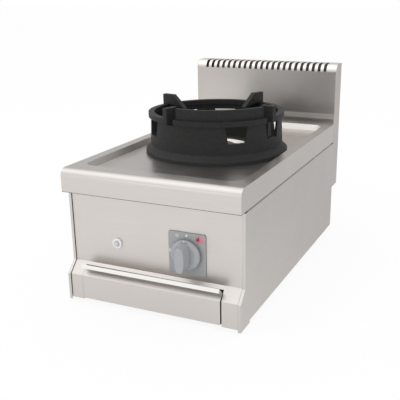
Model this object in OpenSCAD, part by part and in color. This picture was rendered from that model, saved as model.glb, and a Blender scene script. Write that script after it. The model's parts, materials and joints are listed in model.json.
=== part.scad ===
// Countertop wok burner: a stainless box with a pressed worktop and a flue upstand,
// a cast-iron wok ring over one gas burner, a push-and-turn tap, a push-button igniter
// and a pull-out drip tray.
// Millimetres, +Z up, +X to the right of someone facing the front, +Y to the back.
// The origin is on the floor, under the middle of the whole object's box.
// Every piece is drawn in depths measured back from the front face, then moved by front_y.

/* [Body] */
// Overall width of the body
body_w = 400; // [390:1:480]
// Depth from the front face to the back panel
body_d = 661; // [650:1:760]
// Height of the worktop above the floor
worktop_h = 294.5; // [285:0.5:330]
// Height of the body's bottom edge above the floor
base_clear = 10; // [8:0.5:16]
// Thickness of the body's sheet steel
sheet = 1.5; // [1:0.1:1.8]
// Height of the worktop's front and side skirts
fascia_h = 49.5; // [42:0.5:56]
// Radius of the worktop's front nose
nose_r = 15; // [6:0.5:22]
// Open seam between the skirts and the side panels
seam = 2.5; // [1:0.1:4]

/* [Front] */
// How far the control panel sits behind the front face
panel_setback = 24; // [18:0.5:30]
// Height of the lower front face above the body's bottom edge
lower_face_h = 53; // [50:0.5:60]
// Width of the side panels' front return strips
edge_strip = 6; // [4:0.5:10]
// Gap between a return strip and the front panel
panel_gap = 1; // [0.6:0.1:3]
// How far the side panels' front strips stand out of the front panel
strip_proud = 2.2; // [1:0.1:4]
// Length of the toes at the front of the side panels
toe_d = 46; // [40:1:60]
// Drop of the toes below the body's bottom edge
toe_drop = 6; // [2:0.5:7]

/* [Worktop pan] */
// Rim left at each side of the pan
pan_side_rim = 22; // [16:0.5:30]
// Rim left in front of the pan
pan_front_rim = 47; // [40:0.5:60]
// Rim left behind the pan
pan_rear_rim = 27; // [18:0.5:40]
// Depth of the pan
pan_depth = 14; // [8:0.5:18]
// How far the pan's walls lean in from top to bottom
pan_lean = 8; // [4:0.5:12]
// Corner radius of the pan at its top edge
pan_corner_r = 25; // [18:0.5:40]
// Radius of the burner hole in the pan
burner_hole_r = 78; // [77:0.5:90]
// Height of the raised bead round the burner hole
bead_h = 7; // [3:0.5:10]

/* [Flue] */
// How far the flue's front stands ahead of the back panel
flue_lap = 5; // [3:0.5:12]
// Depth of the flue box
flue_depth = 52; // [46:1:80]
// Height of the flue above the worktop
flue_h = 155; // [100:0.5:220]
// Drop of the flue box below the worktop behind the body
flue_drop = 175.5; // [150:0.5:180]
// Radius of the flue's top front edge
flue_round = 20; // [6:0.5:22]
// Height of each of the rail's two faces at the foot of the flue
rail = 13; // [8:0.5:18]
// How far the rail stands out of the flue
rail_out = 3.5; // [2.5:0.5:12]
// Number of slots over the flue's top edge
slot_count = 22; // [10:1:23]
// Distance from each side of the body to the middle of its nearest slot
slot_margin = 31; // [24:0.5:45]
// Width of a slot
slot_w = 7.8; // [3:0.1:9]

/* [Drip tray] */
// Distance from the left side of the body to the tray's front
tray_left = 36; // [30:0.5:44]
// Distance from the right side of the body to the tray's front
tray_right = 44.5; // [36:0.5:47]
// Gap at the left end of the tray's front
tray_left_gap = 0.8; // [0.6:0.1:3]
// Gap at the right end of the tray's front
tray_right_gap = 3; // [1.5:0.1:4]
// Gap above the tray's front
tray_top_gap = 5; // [3:0.1:6]
// Distance from each side of the body to the tray pan
tray_inset = 51.5; // [50:0.5:65]
// Length of the tray pan
tray_len = 598; // [480:1:610]
// Height of the tray pan
tray_h = 42; // [25:0.5:44]
// How far the pull lip stands off the slope
lip_out = 18; // [12:0.5:20]
// Length of the pull lip's turned-down edge
lip_len = 6.3; // [5:0.1:10]

/* [Tap and knob] */
// Distance of the knob to the right of the middle
knob_x = 75.5; // [60:0.5:100]
// Height of the knob's axis above the floor
knob_z = 142; // [136:0.5:150]
// Radius of the knob's skirt
knob_r = 32; // [24:0.5:38]
// Reach of the knob's front ahead of the control panel
knob_reach = 40; // [34:0.5:48]
// Width of the knob's bezel plate
bezel_w = 82; // [72:0.5:100]
// Height of the knob's bezel plate
bezel_h = 89; // [72:0.5:104]
// Thickness of the bezel plate
bezel_t = 3; // [1.5:0.1:4]
// Travel of the knob when it is pushed
push_travel = 4; // [2:0.1:5]
// Radius of the tap's spindle
spindle_r = 4; // [3:0.1:5]

/* [Igniter] */
// Distance of the igniter to the left of the middle
igniter_x = 87; // [70:0.5:110]
// Height of the igniter's axis above the floor
igniter_z = 140; // [130:0.5:150]
// Outer radius of the igniter's ring
igniter_ring_r = 11; // [9.5:0.1:14]
// Radius of the igniter's button
button_r = 5.5; // [4:0.1:6]
// How far the button stands out of its ring
button_proud = 4; // [3.2:0.1:7]
// Travel of the button when it is pressed
button_travel = 3; // [2:0.1:3]

/* [Wok ring] */
// Distance of the burner's axis behind the front face
ring_d = 330; // [310:1:350]
// Gap between the ring's flange and the foot of the pan's side walls
ring_margin = 5; // [4.5:0.5:14]
// How far the loose ring lies to the right of the burner's axis
ring_shift = 3.5; // [0:0.5:4]
// How far the flange stands out of the drum
flange_step = 11.5; // [6:0.5:16]
// How much the drum narrows from its foot to its rim
drum_taper = 2.5; // [1:0.5:6]
// Wall thickness of the casting
cast_wall = 8; // [5:0.5:11]
// Height of the drum under the rim
drum_h = 83; // [70:0.5:100]
// How far the rim stands out of the drum
rim_step = 5.5; // [3:0.5:9]
// Height of the rim
rim_h = 11; // [8:0.5:18]
// How far the rim stands in of the drum's inside
rim_inset = 3.5; // [1:0.5:4]
// Height of the front shield above the rim
shield_h = 23.5; // [14:0.5:28]
// How far the front shield stands inside the drum's face
shield_setback = 3.5; // [0.5:0.5:6]
// How far the prongs stand out of the rim
prong_proud = 3.5; // [1:0.5:8]
// Thickness of a prong
prong_t = 12; // [8:0.5:16]
// Width of an air window at its top
window_top_w = 52; // [30:0.5:56]
// Width of an air window at its bottom
window_low_w = 38; // [20:0.5:48]
// Height of an air window
window_h = 36; // [20:0.5:48]

/* [Burner] */
// Radius of the burner's head
head_r = 58; // [50:0.5:60]
// Depth of the cap's seat below the pan floor
seat_drop = 10.5; // [6:0.5:16]
// Height of the cap above its seat
cap_h = 22; // [16:0.5:30]
// Number of flame notches round the cap
port_count = 32; // [16:2:40]
// Outer radius of the mixing tube
mixer_r = 20; // [16:0.5:21]
// Distance of the pilot's axis from the burner's axis
pilot_r = 70; // [68:0.5:74]

/* [Gas inlet] */
// Outer radius of the inlet's thread
inlet_r = 10.48; // [8:0.01:12]
// Length of the inlet's thread
inlet_len = 22; // [16:0.5:30]
// Distance of the inlet's axis from the right side
inlet_inset = 40; // [30:0.5:50]
// Height of the inlet's axis above the floor
inlet_z = 85; // [78:0.5:88]
// Outer radius of the gas pipe
gas_pipe_r = 8; // [6:0.1:9]

/* [Hidden] */
$fn = 64;
hex = 6;

// Overrun of every cut past the faces that it opens
over = 1;
// Radial clearance of a running fit
run_fit = 0.05;
// Radial clearance of a fixed piece in its hole
hole_fit = 0.3;
// Radial clearance of a thread or a plain seat
seat_fit = 0.1;

// Heights of the body's edges
base_top = base_clear + sheet;
fascia_z = worktop_h - fascia_h;
side_top = fascia_z - seam;
ledge_low = base_clear + lower_face_h;
ledge_top = ledge_low + panel_setback;
toe_z = base_clear - toe_drop;
pan_floor = worktop_h - pan_depth;
flue_top = worktop_h + flue_h;
flue_bottom = worktop_h - flue_drop;

// Depths and widths of the body's edges
half_w = body_w / 2;
inner_w = half_w - sheet;
flue_front = body_d - flue_lap;
flue_back = flue_front + flue_depth;
panel_back = panel_setback + sheet;
strip_d = panel_setback - strip_proud;
rail_front = flue_front - rail_out;
top_rear_gap = 1;
top_rear = flue_front - top_rear_gap;

// Screws on the back: pan heads on the flue box and on the back panel
screw_head_r = 4;
screw_head_h = 2.4;
screw_r = 2;
screw_len = 8;
screw_inset = 8;
screw_end_inset = 30;
screws_per_side = 3;

// The whole object reaches from the knob's front to the heads on the flue's back
knob_front = panel_setback - knob_reach;
front_y = -(knob_front + flue_back + screw_head_h) / 2;

// Side panel: folded edges
tongue_lap = 12;
tongue_front = 36;
rear_flange = 14;
rear_flange_rise = 4;
back_flange = 20;

// Base plate: folded sides and air slots
base_front = 6;
base_flange = 14;
air_slot_w = 8;
air_slot_len = 120;
air_slot_pitch = 24;
air_slot_count = 9;

// Front panel: folded top edge and holes
top_fold = 20;
fascia_return = 34;
spindle_hole_r = 6.5;
valve_screw_pitch = 10.5;
valve_screw_r = 1.8;

// Back panel: flue window
flue_window_margin = 50;
flue_window_w = body_w - 2 * flue_window_margin;
flue_window_h = 90;
flue_window_rise = 16;

// Flue: slot ends below the top and ahead of the back
slot_pitch = (body_w - 2 * slot_margin) / (slot_count - 1);
slot_drop = 19;
slot_rear_rim = 7;
slot_back = flue_depth - flue_round - slot_rear_rim;

// Drip tray: slide, shelf and lip places
tray_front_left = tray_left - half_w;
tray_front_right = half_w - tray_right;
tray_w = body_w - 2 * tray_inset;
run_gap = 0.3;
tray_side_gap = 1;
shelf_h = 3.5;
shelf_w = 10;
runner_h = 24;
runner_foot = 15;
runner_front = 30;
runner_rear_gap = 30;
front_bottom_gap = 1;
lip_share = 0.48;
lip_tilt = 9;
lip_rise = panel_setback * lip_share;
tray_bottom = base_top + shelf_h + run_gap;

// Feet: rubber pads under the corners of the base plate
foot_r = 14;
foot_low_r = 12;
foot_inset = 20;
foot_front = 70;
foot_rear = 60;
foot_screw_r = 3;
foot_screw_head_r = 6;
foot_screw_head_h = 3.5;
foot_screw_len = 6;

// Burner: the mixing tube lies level with the tap
mixer_z = knob_z;
mixer_wall = 5;
mixer_bore_r = mixer_r - mixer_wall;
foot_drop = 22;
bracket_z = mixer_z - foot_drop;
bracket_half = 30;
bracket_lip = 20;
bracket_end_rise = 15;
seat_z = pan_floor - seat_drop;
burner_foot_r = 38;
burner_foot_t = 8;
neck_r = 22;
neck_rise = 28;
head_depth = 35;
burner_wall = 6;
head_wall = 10;
bolt_x = 30;
bolt_r = 3;
bolt_head_r = 5.5;
bolt_head_h = 4;
bolt_nut_h = 5;

// Mixing tube: bell mouth, yoke and the injector in front of it
holder_d = 75;
shoulder_r = 8;
yoke_d = holder_d + shoulder_r + seat_fit;
yoke_t = 8;
yoke_w = 20;
yoke_arm_w = 8;
yoke_arm_t = 6;
mouth_gap = 31;
mouth_d = yoke_d + mouth_gap;
mouth_r = 30;
mouth_bore_r = 26;
mouth_len = 25;
mouth_flange_r = 36;
mouth_flange_t = 6;
nose_rod_r = 6;
nose_gap = 3;
nose_end = mouth_d - nose_gap;
injector_hex_r = 5.5;
injector_hex_t = 5;
injector_tip_r = 3;
injector_tip = 6;
shutter_r = 27;
shutter_t = 2;
shutter_hub_r = 10;
shutter_hub = 8;
shutter_gap = 13;

// Burner cap: spigot, notches and dished top
spigot_h = 6;
spigot_gap = 0.5;
spigot_wall = 5;
port_w = 2.6;
port_h = 5;
cap_edge_h = 10;
cap_top_share = 0.8;
cap_dish_share = 0.4;
cap_dish_h = 4;

// Tap: body, bosses and magnet unit behind the front panel
valve_half = 17;
valve_len = 59.5;
boss_len = 12;
inlet_boss_r = 9;
inlet_boss_d = 55;
outlet_boss_r = 8;
pilot_boss_r = 5;
pilot_boss_len = 8;
pilot_boss_d = 60;
magnet_r = 10;
magnet_len = 23;
spindle_end = 45;
rod_r = 3;
rod_len = 21;
stop_gap = 2;
valve_bore_end = spindle_end + rod_len + push_travel + stop_gap;
valve_screw_len = 12;
valve_screw_head_r = 3;
valve_screw_head_h = 1.8;
bezel_hole_r = 14;
bezel_corner = 4;

// Knob: skirt, grip bar and bore
knob_spare = 1;
knob_gap = push_travel + knob_spare;
knob_back = panel_setback - bezel_t - knob_gap;
skirt_t = 8;
skirt_edge = 2;
skirt_top_r = knob_r - skirt_edge;
bar_low_w = 20;
bar_top_w = 16;
bar_inset = 3;
bar_r = knob_r - bar_inset;
bore_end = 12;
flat_share = 0.75;
flat_len = 16;

// Igniter: ring, neck, nut and terminal
igniter_ring_t = 2.5;
igniter_lip = 1;
igniter_r = 8;
igniter_len = 46;
igniter_front = panel_setback - igniter_ring_t;
button_front = igniter_front - igniter_lip - button_proud;
button_len = 28;
igniter_bore_end = button_front + button_len + button_travel + stop_gap;
igniter_nut_r = 13;
igniter_nut_t = 5;
terminal_r = 2.5;
terminal_len = 6;

// Gas lines
inlet_x = half_w - inlet_inset;
inlet_hex_r = 15;
inlet_hex_t = 8;
inlet_tail = 20;
locknut_t = 6;
bend_r = 20;
supply_r = 5;
supply_nut_r = 9;
supply_nut_len = 12;
holder_left = 8;
holder_right = 12;

// Pilot group: a bent bracket on the burner's cross-member
pilot_angle = 233;
pilot_spread = 14;
tab_in_r = 62;
tab_out_r = 80;
tab_start = 200;
tab_end = 256;
tab_t = 2;
tab_drop = 30.5;
tab_z = pan_floor - tab_drop;
tab_leg_x0 = -76;
tab_leg_x1 = -54;
pilot_tip = 6;
pilot_body_r = 4.5;
pilot_collar_r = 6.5;
pilot_collar_t = 3;
pilot_below = 12;
pilot_hood_r = 5.5;
pilot_hood_h = 8;
probe_r = 2.5;
probe_collar_r = 4;
electrode_r = 4;
electrode_collar_r = 5.5;
electrode_tip_r = 1.2;
electrode_tip = 10;
pilot_pipe_r = 2;
lead_r = 1.5;
spark_lead_r = 2.5;
thermo_nut_r = 5;
thermo_nut_len = 8;
tube_sides = 8;
tube_rings = 24;

// Wok ring: flange, window and prong places
flange_r = half_w - pan_side_rim - pan_lean - ring_margin;
drum_low_r = flange_r - flange_step;
drum_top_r = drum_low_r - drum_taper;
rim_r = drum_top_r + rim_step;
shield_r = drum_top_r - shield_setback;
rim_in_r = drum_top_r - cast_wall;
drum_in_r = rim_in_r + rim_inset;
prong_r = rim_r + prong_proud;
flange_lip = 8;
flare_h = 21;
window_lip = 1.5;
prong_angles = [70, 166, 250, 346];
front_window_angles = [225, 310.7, 348.5];
rear_window_angles = [40, 105.5, 143];
rear_window_drop = 10.5;
shield_from = prong_angles[2];
shield_to = prong_angles[3];
shield_gap = 14;
shield_ease = 2;
shield_wall = 7;
shield_in_r = shield_r - shield_wall;
prong_flat = 31;
prong_slope_run = 35;
prong_slope_drop = 30;
prong_nose = 9;
prong_root = 34;
prong_sink = 3;
notch_drop = 3;

// Outlines and places

// A direction turned a quarter left
function left_of(v) = [-v[1], v[0]];
// The unit direction of step i of an outline
function step_dir(pts, i) = (pts[i + 1] - pts[i]) / norm(pts[i + 1] - pts[i]);
// Side steps that shift an outline by t, mitred at its bends
function side_step(pts, i, t) =
    i == 0 ? t * left_of(step_dir(pts, 0)) :
    i == len(pts) - 1 ? t * left_of(step_dir(pts, i - 1)) :
    let (a = left_of(step_dir(pts, i - 1)), b = left_of(step_dir(pts, i)))
        t * (a + b) / (1 + a * b);
// A folded sheet's section: an outline and the same outline shifted by its thickness
function folded(pts, t) =
    concat(pts, [for (i = [len(pts) - 1:-1:0]) pts[i] + side_step(pts, i, t)]);

// Draws a section of depth and height across the width w
module across(w) {
    rotate([90, 0, 90]) linear_extrude(w, center = true) children();
}

// Draws a section of depth and height from x0 to x1
module across_from(x0, x1) {
    translate([x0, 0, 0]) rotate([90, 0, 90]) linear_extrude(x1 - x0) children();
}

// Draws a section of width and height from depth d0 back to d1
module back_from(d0, d1) {
    translate([0, d1, 0]) rotate([90, 0, 0]) linear_extrude(d1 - d0) children();
}

// A round rod from depth d0 back to d1 at x and z
module rod(x, z, r, d0, d1, sides = $fn) {
    translate([x, d0, z]) rotate([-90, 0, 0]) cylinder(h = d1 - d0, r = r, $fn = sides);
}

// A round cone from depth d0 to d1, radius r0 to r1
module cone(x, z, r0, r1, d0, d1) {
    translate([x, d0, z]) rotate([-90, 0, 0]) cylinder(h = d1 - d0, r1 = r0, r2 = r1);
}

// A round rod to the right from x0 to x1 at depth d and height z
module cross_rod(x0, x1, d, z, r, sides = $fn) {
    translate([x0, d, z]) rotate([0, 90, 0]) cylinder(h = x1 - x0, r = r, $fn = sides);
}

// A block given by its two corners
module block(a, b) {
    translate(a) cube(b - a);
}

// What is left outside a round corner of radius r, whose centre is right of and below it
module corner_waste(r) {
    difference() {
        translate([-over, 0]) square([r + over, r + over]);
        translate([r, 0]) circle(r);
    }
}

// A plate section with round corners
module round_rect(w, h, r) {
    square([w - 2 * r, h], center = true);
    square([w, h - 2 * r], center = true);
    for (x = [-1, 1], y = [-1, 1])
        translate([x * (w / 2 - r), y * (h / 2 - r)]) circle(r);
}

// Moves a piece from depths behind the front face into the part's frame
module placed() {
    translate([0, front_y, 0]) children();
}

// Points of a curve that leaves p along u and reaches q along v
function curve_at(p, u, v, q, t) =
    p * pow(1 - t, 3) + 3 * (p + u) * pow(1 - t, 2) * t
    + 3 * (q - v) * (1 - t) * t * t + q * pow(t, 3);
function curve(p, u, v, q) = [for (i = [0:tube_rings]) curve_at(p, u, v, q, i / tube_rings)];

// Direction of a route at its point i
function route_dir(pts, i) =
    let (a = pts[max(i - 1, 0)], b = pts[min(i + 1, len(pts) - 1)]) (b - a) / norm(b - a);

// A bent tube of radius r along a route whose ends run straight along u and v
module tube(p, u, v, q, r) {
    pts = curve(p, u, v, q);
    n = tube_sides;
    last = len(pts) - 1;
    rings = [for (i = [0:last])
        let (t = i == 0 ? u / norm(u) : i == last ? v / norm(v) : route_dir(pts, i),
            c = cross(t, [1, 0, 0]), e = c / norm(c), f = cross(t, e))
        for (j = [0:n - 1]) pts[i] + r * (cos(360 * j / n) * e + sin(360 * j / n) * f)];
    sides = [for (i = [0:last - 1], j = [0:n - 1])
        let (a = i * n + j, b = i * n + (j + 1) % n, c = b + n, d = a + n)
        each [[a, d, c], [a, c, b]]];
    caps = [for (j = [1:n - 2]) each [[0, j, j + 1], [last * n, last * n + j + 1, last * n + j]]];
    polyhedron(rings, concat(sides, caps));
}

// Body shell

// Outline of a side panel with its flue cheek and the rail's end, in depth and height
module side_outline() {
    difference() {
        polygon([[strip_d, side_top], [strip_d, ledge_top], [-strip_proud, ledge_low],
            [-strip_proud, toe_z], [toe_d, toe_z], [toe_d, base_clear], [body_d, base_clear],
            [body_d, flue_bottom], [flue_back, flue_bottom], [flue_back, flue_top],
            [flue_front, flue_top], [flue_front, worktop_h + 2 * rail], [rail_front, worktop_h + rail],
            [rail_front, worktop_h], [flue_front, worktop_h], [flue_front, side_top]]);
        translate([flue_front, flue_top - flue_round]) corner_waste(flue_round);
    }
}

// Heights of the screws on one side of the flue box
function flue_screw_z(i) = flue_bottom + screw_end_inset
    + i * (flue_top - flue_bottom - 2 * screw_end_inset) / (screws_per_side - 1);
// Height of the one screw on each side of the back panel
back_screw_z = (base_clear + flue_bottom) / 2;
screw_x = inner_w - screw_inset;

// Draws its child at each back screw: flue box first, then back panel
module at_back_screws() {
    for (x = [-screw_x, screw_x]) {
        for (i = [0:screws_per_side - 1]) translate([x, flue_back, flue_screw_z(i)]) children();
        translate([x, body_d, back_screw_z]) children();
    }
}

module back_screw_holes() {
    at_back_screws() translate([0, -screw_len - over, 0])
        rod(0, 0, screw_r + hole_fit, 0, screw_len + 2 * over);
}

// The right side panel: sheet, front return strip, tongue behind the skirt, rear flanges
module side_panel() {
    front_path = [[strip_d, side_top], [strip_d, ledge_top], [-strip_proud, ledge_low],
        [-strip_proud, toe_z]];
    difference() {
        union() {
            across_from(inner_w, half_w) side_outline();
            across_from(half_w - edge_strip, half_w) polygon(folded(front_path, sheet));
            block([inner_w - sheet, tongue_front, side_top - tongue_lap],
                [inner_w, body_d - back_flange - panel_gap, worktop_h - sheet]);
            block([inner_w - rear_flange, body_d - 2 * sheet, base_top + rear_flange_rise],
                [inner_w, body_d - sheet, flue_bottom - rear_flange_rise]);
            block([inner_w - rear_flange, flue_back - 2 * sheet, flue_bottom + rear_flange_rise],
                [inner_w, flue_back - sheet, flue_top - 2 * rear_flange_rise]);
        }
        back_screw_holes();
    }
}

module side_panel_right() { color("gainsboro") placed() side_panel(); }

module side_panel_left() { color("gainsboro") placed() mirror([1, 0, 0]) side_panel(); }

// Places of the feet on the base plate
foot_x = half_w - foot_inset;
foot_places = [for (x = [-foot_x, foot_x], d = [foot_front, body_d - foot_rear]) [x, d]];

// The base plate: a shallow trough with air slots under the burner
module base_plate() {
    path = [[-inner_w, base_top + base_flange], [-inner_w, base_clear], [inner_w, base_clear],
        [inner_w, base_top + base_flange]];
    color("silver") placed() difference() {
        back_from(base_front, body_d - 2 * sheet) polygon(folded(path, sheet));
        for (p = foot_places)
            translate([p[0], p[1], base_clear - over])
                cylinder(h = sheet + 2 * over, r = foot_screw_r + hole_fit);
        for (i = [0:air_slot_count - 1])
            translate([-air_slot_len / 2,
                ring_d + (i - (air_slot_count - 1) / 2) * air_slot_pitch - air_slot_w / 2,
                base_clear - over])
                cube([air_slot_len, air_slot_w, sheet + 2 * over]);
    }
}

// The back panel: a sheet with the flue window and the inlet's hole, folded under the worktop
module back_panel() {
    path = [[body_d, base_clear], [body_d, worktop_h - sheet],
        [body_d - back_flange, worktop_h - sheet]];
    color("silver") placed() difference() {
        across(2 * inner_w) polygon(folded(path, sheet));
        translate([-flue_window_w / 2, body_d - sheet - over, flue_bottom + flue_window_rise])
            cube([flue_window_w, sheet + 2 * over, flue_window_h]);
        rod(inlet_x, inlet_z, inlet_r + hole_fit, body_d - sheet - over, body_d + over);
        back_screw_holes();
    }
}

// The front panel: control face, ledge and the two legs beside the drip tray
module front_panel() {
    low = base_clear - sheet;
    path = [[panel_setback + top_fold, fascia_z], [panel_setback, fascia_z],
        [panel_setback, ledge_top], [0, ledge_low], [0, low], [toe_d, low]];
    color("gainsboro") placed() difference() {
        across(2 * (half_w - edge_strip - panel_gap)) polygon(folded(path, sheet));
        block([tray_front_left - tray_left_gap, -over, low - over],
            [tray_front_right + tray_right_gap, toe_d + over, ledge_low + lip_rise + tray_top_gap]);
        rod(knob_x, knob_z, spindle_hole_r, 0, panel_back + over);
        for (x = [-valve_screw_pitch, valve_screw_pitch])
            rod(knob_x + x, knob_z, valve_screw_r + hole_fit, 0, panel_back + over);
        rod(-igniter_x, igniter_z, igniter_r + hole_fit, 0, panel_back + over);
    }
}

// Worktop

// The bead round the burner hole: slope, crest and foot
bead_run = 7;
bead_crest = 2;
bead_foot = 4;
bead_out_r = burner_hole_r + 2 * bead_run + bead_crest;

pan_x = half_w - pan_side_rim - pan_corner_r;
pan_d0 = pan_front_rim + pan_corner_r;
pan_d1 = top_rear - pan_rear_rim - pan_corner_r;

// The pan as a solid, grown by g: a core, four leaning sides and four leaning round corners
module pan_solid(g, top) {
    low = pan_floor - g;
    h = top - low;
    lean_share = pan_lean / pan_depth;
    r0 = pan_corner_r - pan_lean + g * (1 - lean_share);
    r1 = r0 + h * lean_share;
    side = [[0, low], [r0, low], [r1, low + h], [0, low + h]];
    block([-pan_x, pan_d0, low], [pan_x, pan_d1, low + h]);
    for (s = [0, 1]) mirror([s, 0, 0]) {
        translate([pan_x, pan_d1, 0]) rotate([90, 0, 0]) linear_extrude(pan_d1 - pan_d0) polygon(side);
        translate([pan_x, pan_d1, 0]) rotate_extrude(angle = 90) polygon(side);
        translate([pan_x, pan_d0, 0]) rotate([0, 0, -90]) rotate_extrude(angle = 90) polygon(side);
    }
    translate([0, pan_d1, 0]) across(2 * pan_x) polygon(side);
    translate([0, pan_d0, 0]) rotate([0, 0, 180]) across(2 * pan_x) polygon(side);
}

// Section of the worktop's skirts and nose, in depth and height
module worktop_section() {
    difference() {
        translate([0, fascia_z]) square([top_rear, fascia_h]);
        translate([0, worktop_h - nose_r]) corner_waste(nose_r);
    }
}

// The room under the worktop's sheet, open below behind the fascia's return
module worktop_room() {
    difference() {
        translate([sheet, fascia_z + sheet]) square([top_rear + over, fascia_h - 2 * sheet]);
        translate([sheet, worktop_h - nose_r]) corner_waste(nose_r - sheet);
    }
    translate([fascia_return, fascia_z - over]) square([top_rear + over, fascia_h / 2]);
}

// Section of the bead round the burner hole: up from the pan floor, over and down into the hole
module bead_section() {
    crest = burner_hole_r + bead_run;
    top = pan_floor + bead_h;
    path = [[bead_out_r + bead_foot, pan_floor], [bead_out_r, pan_floor], [crest + bead_crest, top],
        [crest, top], [burner_hole_r, pan_floor]];
    polygon(folded(path, sheet));
}

// The pressed worktop: nose, skirts, pan and burner hole with its raised bead
module worktop() {
    color("gainsboro") placed() {
        difference() {
            union() {
                difference() {
                    across(body_w) worktop_section();
                    across(2 * inner_w) worktop_room();
                }
                pan_solid(sheet, worktop_h);
            }
            pan_solid(0, worktop_h + over);
            translate([0, ring_d, pan_floor - sheet - over])
                cylinder(h = pan_depth + sheet + 2 * over, r = bead_out_r + bead_foot / 2);
        }
        translate([0, ring_d, 0]) rotate_extrude() bead_section();
    }
}

// Flue

// Section of the flue's front sheet: rail at the foot, splash face and round top edge
module flue_section() {
    outside = [[flue_back, worktop_h], [rail_front, worktop_h], [rail_front, worktop_h + rail],
        [flue_front, worktop_h + 2 * rail], [flue_front, flue_top], [flue_back, flue_top]];
    inside = [for (i = [0:len(outside) - 1]) outside[i] + side_step(outside, i, -sheet)];
    difference() {
        polygon(outside);
        translate([flue_front, flue_top - flue_round]) corner_waste(flue_round);
        difference() {
            polygon(inside);
            translate([flue_front + sheet, flue_top - flue_round]) corner_waste(flue_round - sheet);
        }
        translate([flue_front + sheet, worktop_h - over]) square([flue_depth, sheet + 2 * over]);
        translate([flue_back - sheet, worktop_h - over]) square([sheet + over, flue_h + 2 * over]);
    }
}

// The flue's front sheet with its row of slots over the top edge
module flue_front_panel() {
    slot_x0 = -(slot_count - 1) * slot_pitch / 2;
    color("lightgray") placed() difference() {
        across(2 * inner_w) flue_section();
        for (i = [0:slot_count - 1])
            translate([slot_x0 + i * slot_pitch - slot_w / 2, flue_front - over, flue_top - slot_drop])
                cube([slot_w, flue_round + slot_back + over, slot_drop + over]);
    }
}

// The flue's back sheet, folded forward under the flue box
module flue_back_panel() {
    path = [[body_d, flue_bottom], [flue_back, flue_bottom], [flue_back, flue_top]];
    color("silver") placed() difference() {
        across(2 * inner_w) polygon(folded(path, sheet));
        back_screw_holes();
    }
}

// Pan-head screws that hold the flue's back and the back panel
module back_screws() {
    color("dimgray") placed() at_back_screws() {
        rod(0, 0, screw_head_r, 0, screw_head_h);
        rod(0, 0, screw_r, -screw_len, 0);
    }
}

// Feet

module feet() {
    color("black") placed() for (p = foot_places) translate([p[0], p[1], 0]) difference() {
        cylinder(h = base_clear, r1 = foot_low_r, r2 = foot_r);
        translate([0, 0, base_clear - foot_screw_len - seat_fit])
            cylinder(h = foot_screw_len + seat_fit + over, r = foot_screw_r + seat_fit);
    }
}

module foot_screws() {
    color("dimgray") placed() for (p = foot_places) translate([p[0], p[1], 0]) {
        translate([0, 0, base_top]) cylinder(h = foot_screw_head_h, r = foot_screw_head_r);
        translate([0, 0, base_clear - foot_screw_len])
            cylinder(h = foot_screw_len + sheet, r = foot_screw_r);
    }
}

// Drip tray

// The right runner: foot on the base plate, web beside the tray and shelf under it
module tray_runner() {
    web = tray_w / 2 + tray_side_gap;
    back_from(runner_front, body_d - sheet - runner_rear_gap) {
        translate([web, base_top]) square([runner_foot, sheet]);
        translate([web, base_top]) square([sheet, runner_h]);
        translate([web - shelf_w, base_top + shelf_h - sheet]) square([shelf_w + sheet, sheet]);
    }
}

module tray_runner_right() { color("darkgray") placed() tray_runner(); }

module tray_runner_left() { color("darkgray") placed() mirror([1, 0, 0]) tray_runner(); }

// The tray pan, open at the top, behind its front
module tray_pan() {
    color("lightgray") placed() difference() {
        block([-tray_w / 2, sheet, tray_bottom], [tray_w / 2, sheet + tray_len, tray_bottom + tray_h]);
        block([sheet - tray_w / 2, 2 * sheet, tray_bottom + sheet],
            [tray_w / 2 - sheet, tray_len, tray_bottom + tray_h + over]);
    }
}

// The tray's front: lower face, half the slope and the pull lip folded out and nearly upright
module tray_front() {
    slope = [1, 1] / norm([1, 1]);
    bend = [lip_rise, ledge_low + lip_rise];
    fold = bend + lip_out * left_of(slope);
    edge = fold - lip_len * [sin(lip_tilt), cos(lip_tilt)];
    path = [[0, base_clear + front_bottom_gap], [0, ledge_low], bend, fold, edge];
    color("whitesmoke") placed() across_from(tray_front_left, tray_front_right) polygon(folded(path, -sheet));
}

// Burner

// The cross-member that carries the burner between the side panels
module burner_bracket() {
    d0 = ring_d - bracket_half;
    d1 = ring_d + bracket_half;
    path = [[d1, bracket_z - bracket_lip], [d1, bracket_z], [d0, bracket_z], [d0, bracket_z - bracket_lip]];
    color("gray") placed() difference() {
        union() {
            across(2 * inner_w) polygon(folded(path, sheet));
            for (x = [-inner_w, inner_w - sheet])
                block([x, d0, bracket_z - bracket_lip], [x + sheet, d1, bracket_z + bracket_end_rise]);
        }
        for (x = [-bolt_x, bolt_x])
            translate([x, ring_d, bracket_z - sheet - over])
                cylinder(h = sheet + 2 * over, r = bolt_r + hole_fit);
    }
}

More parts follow.
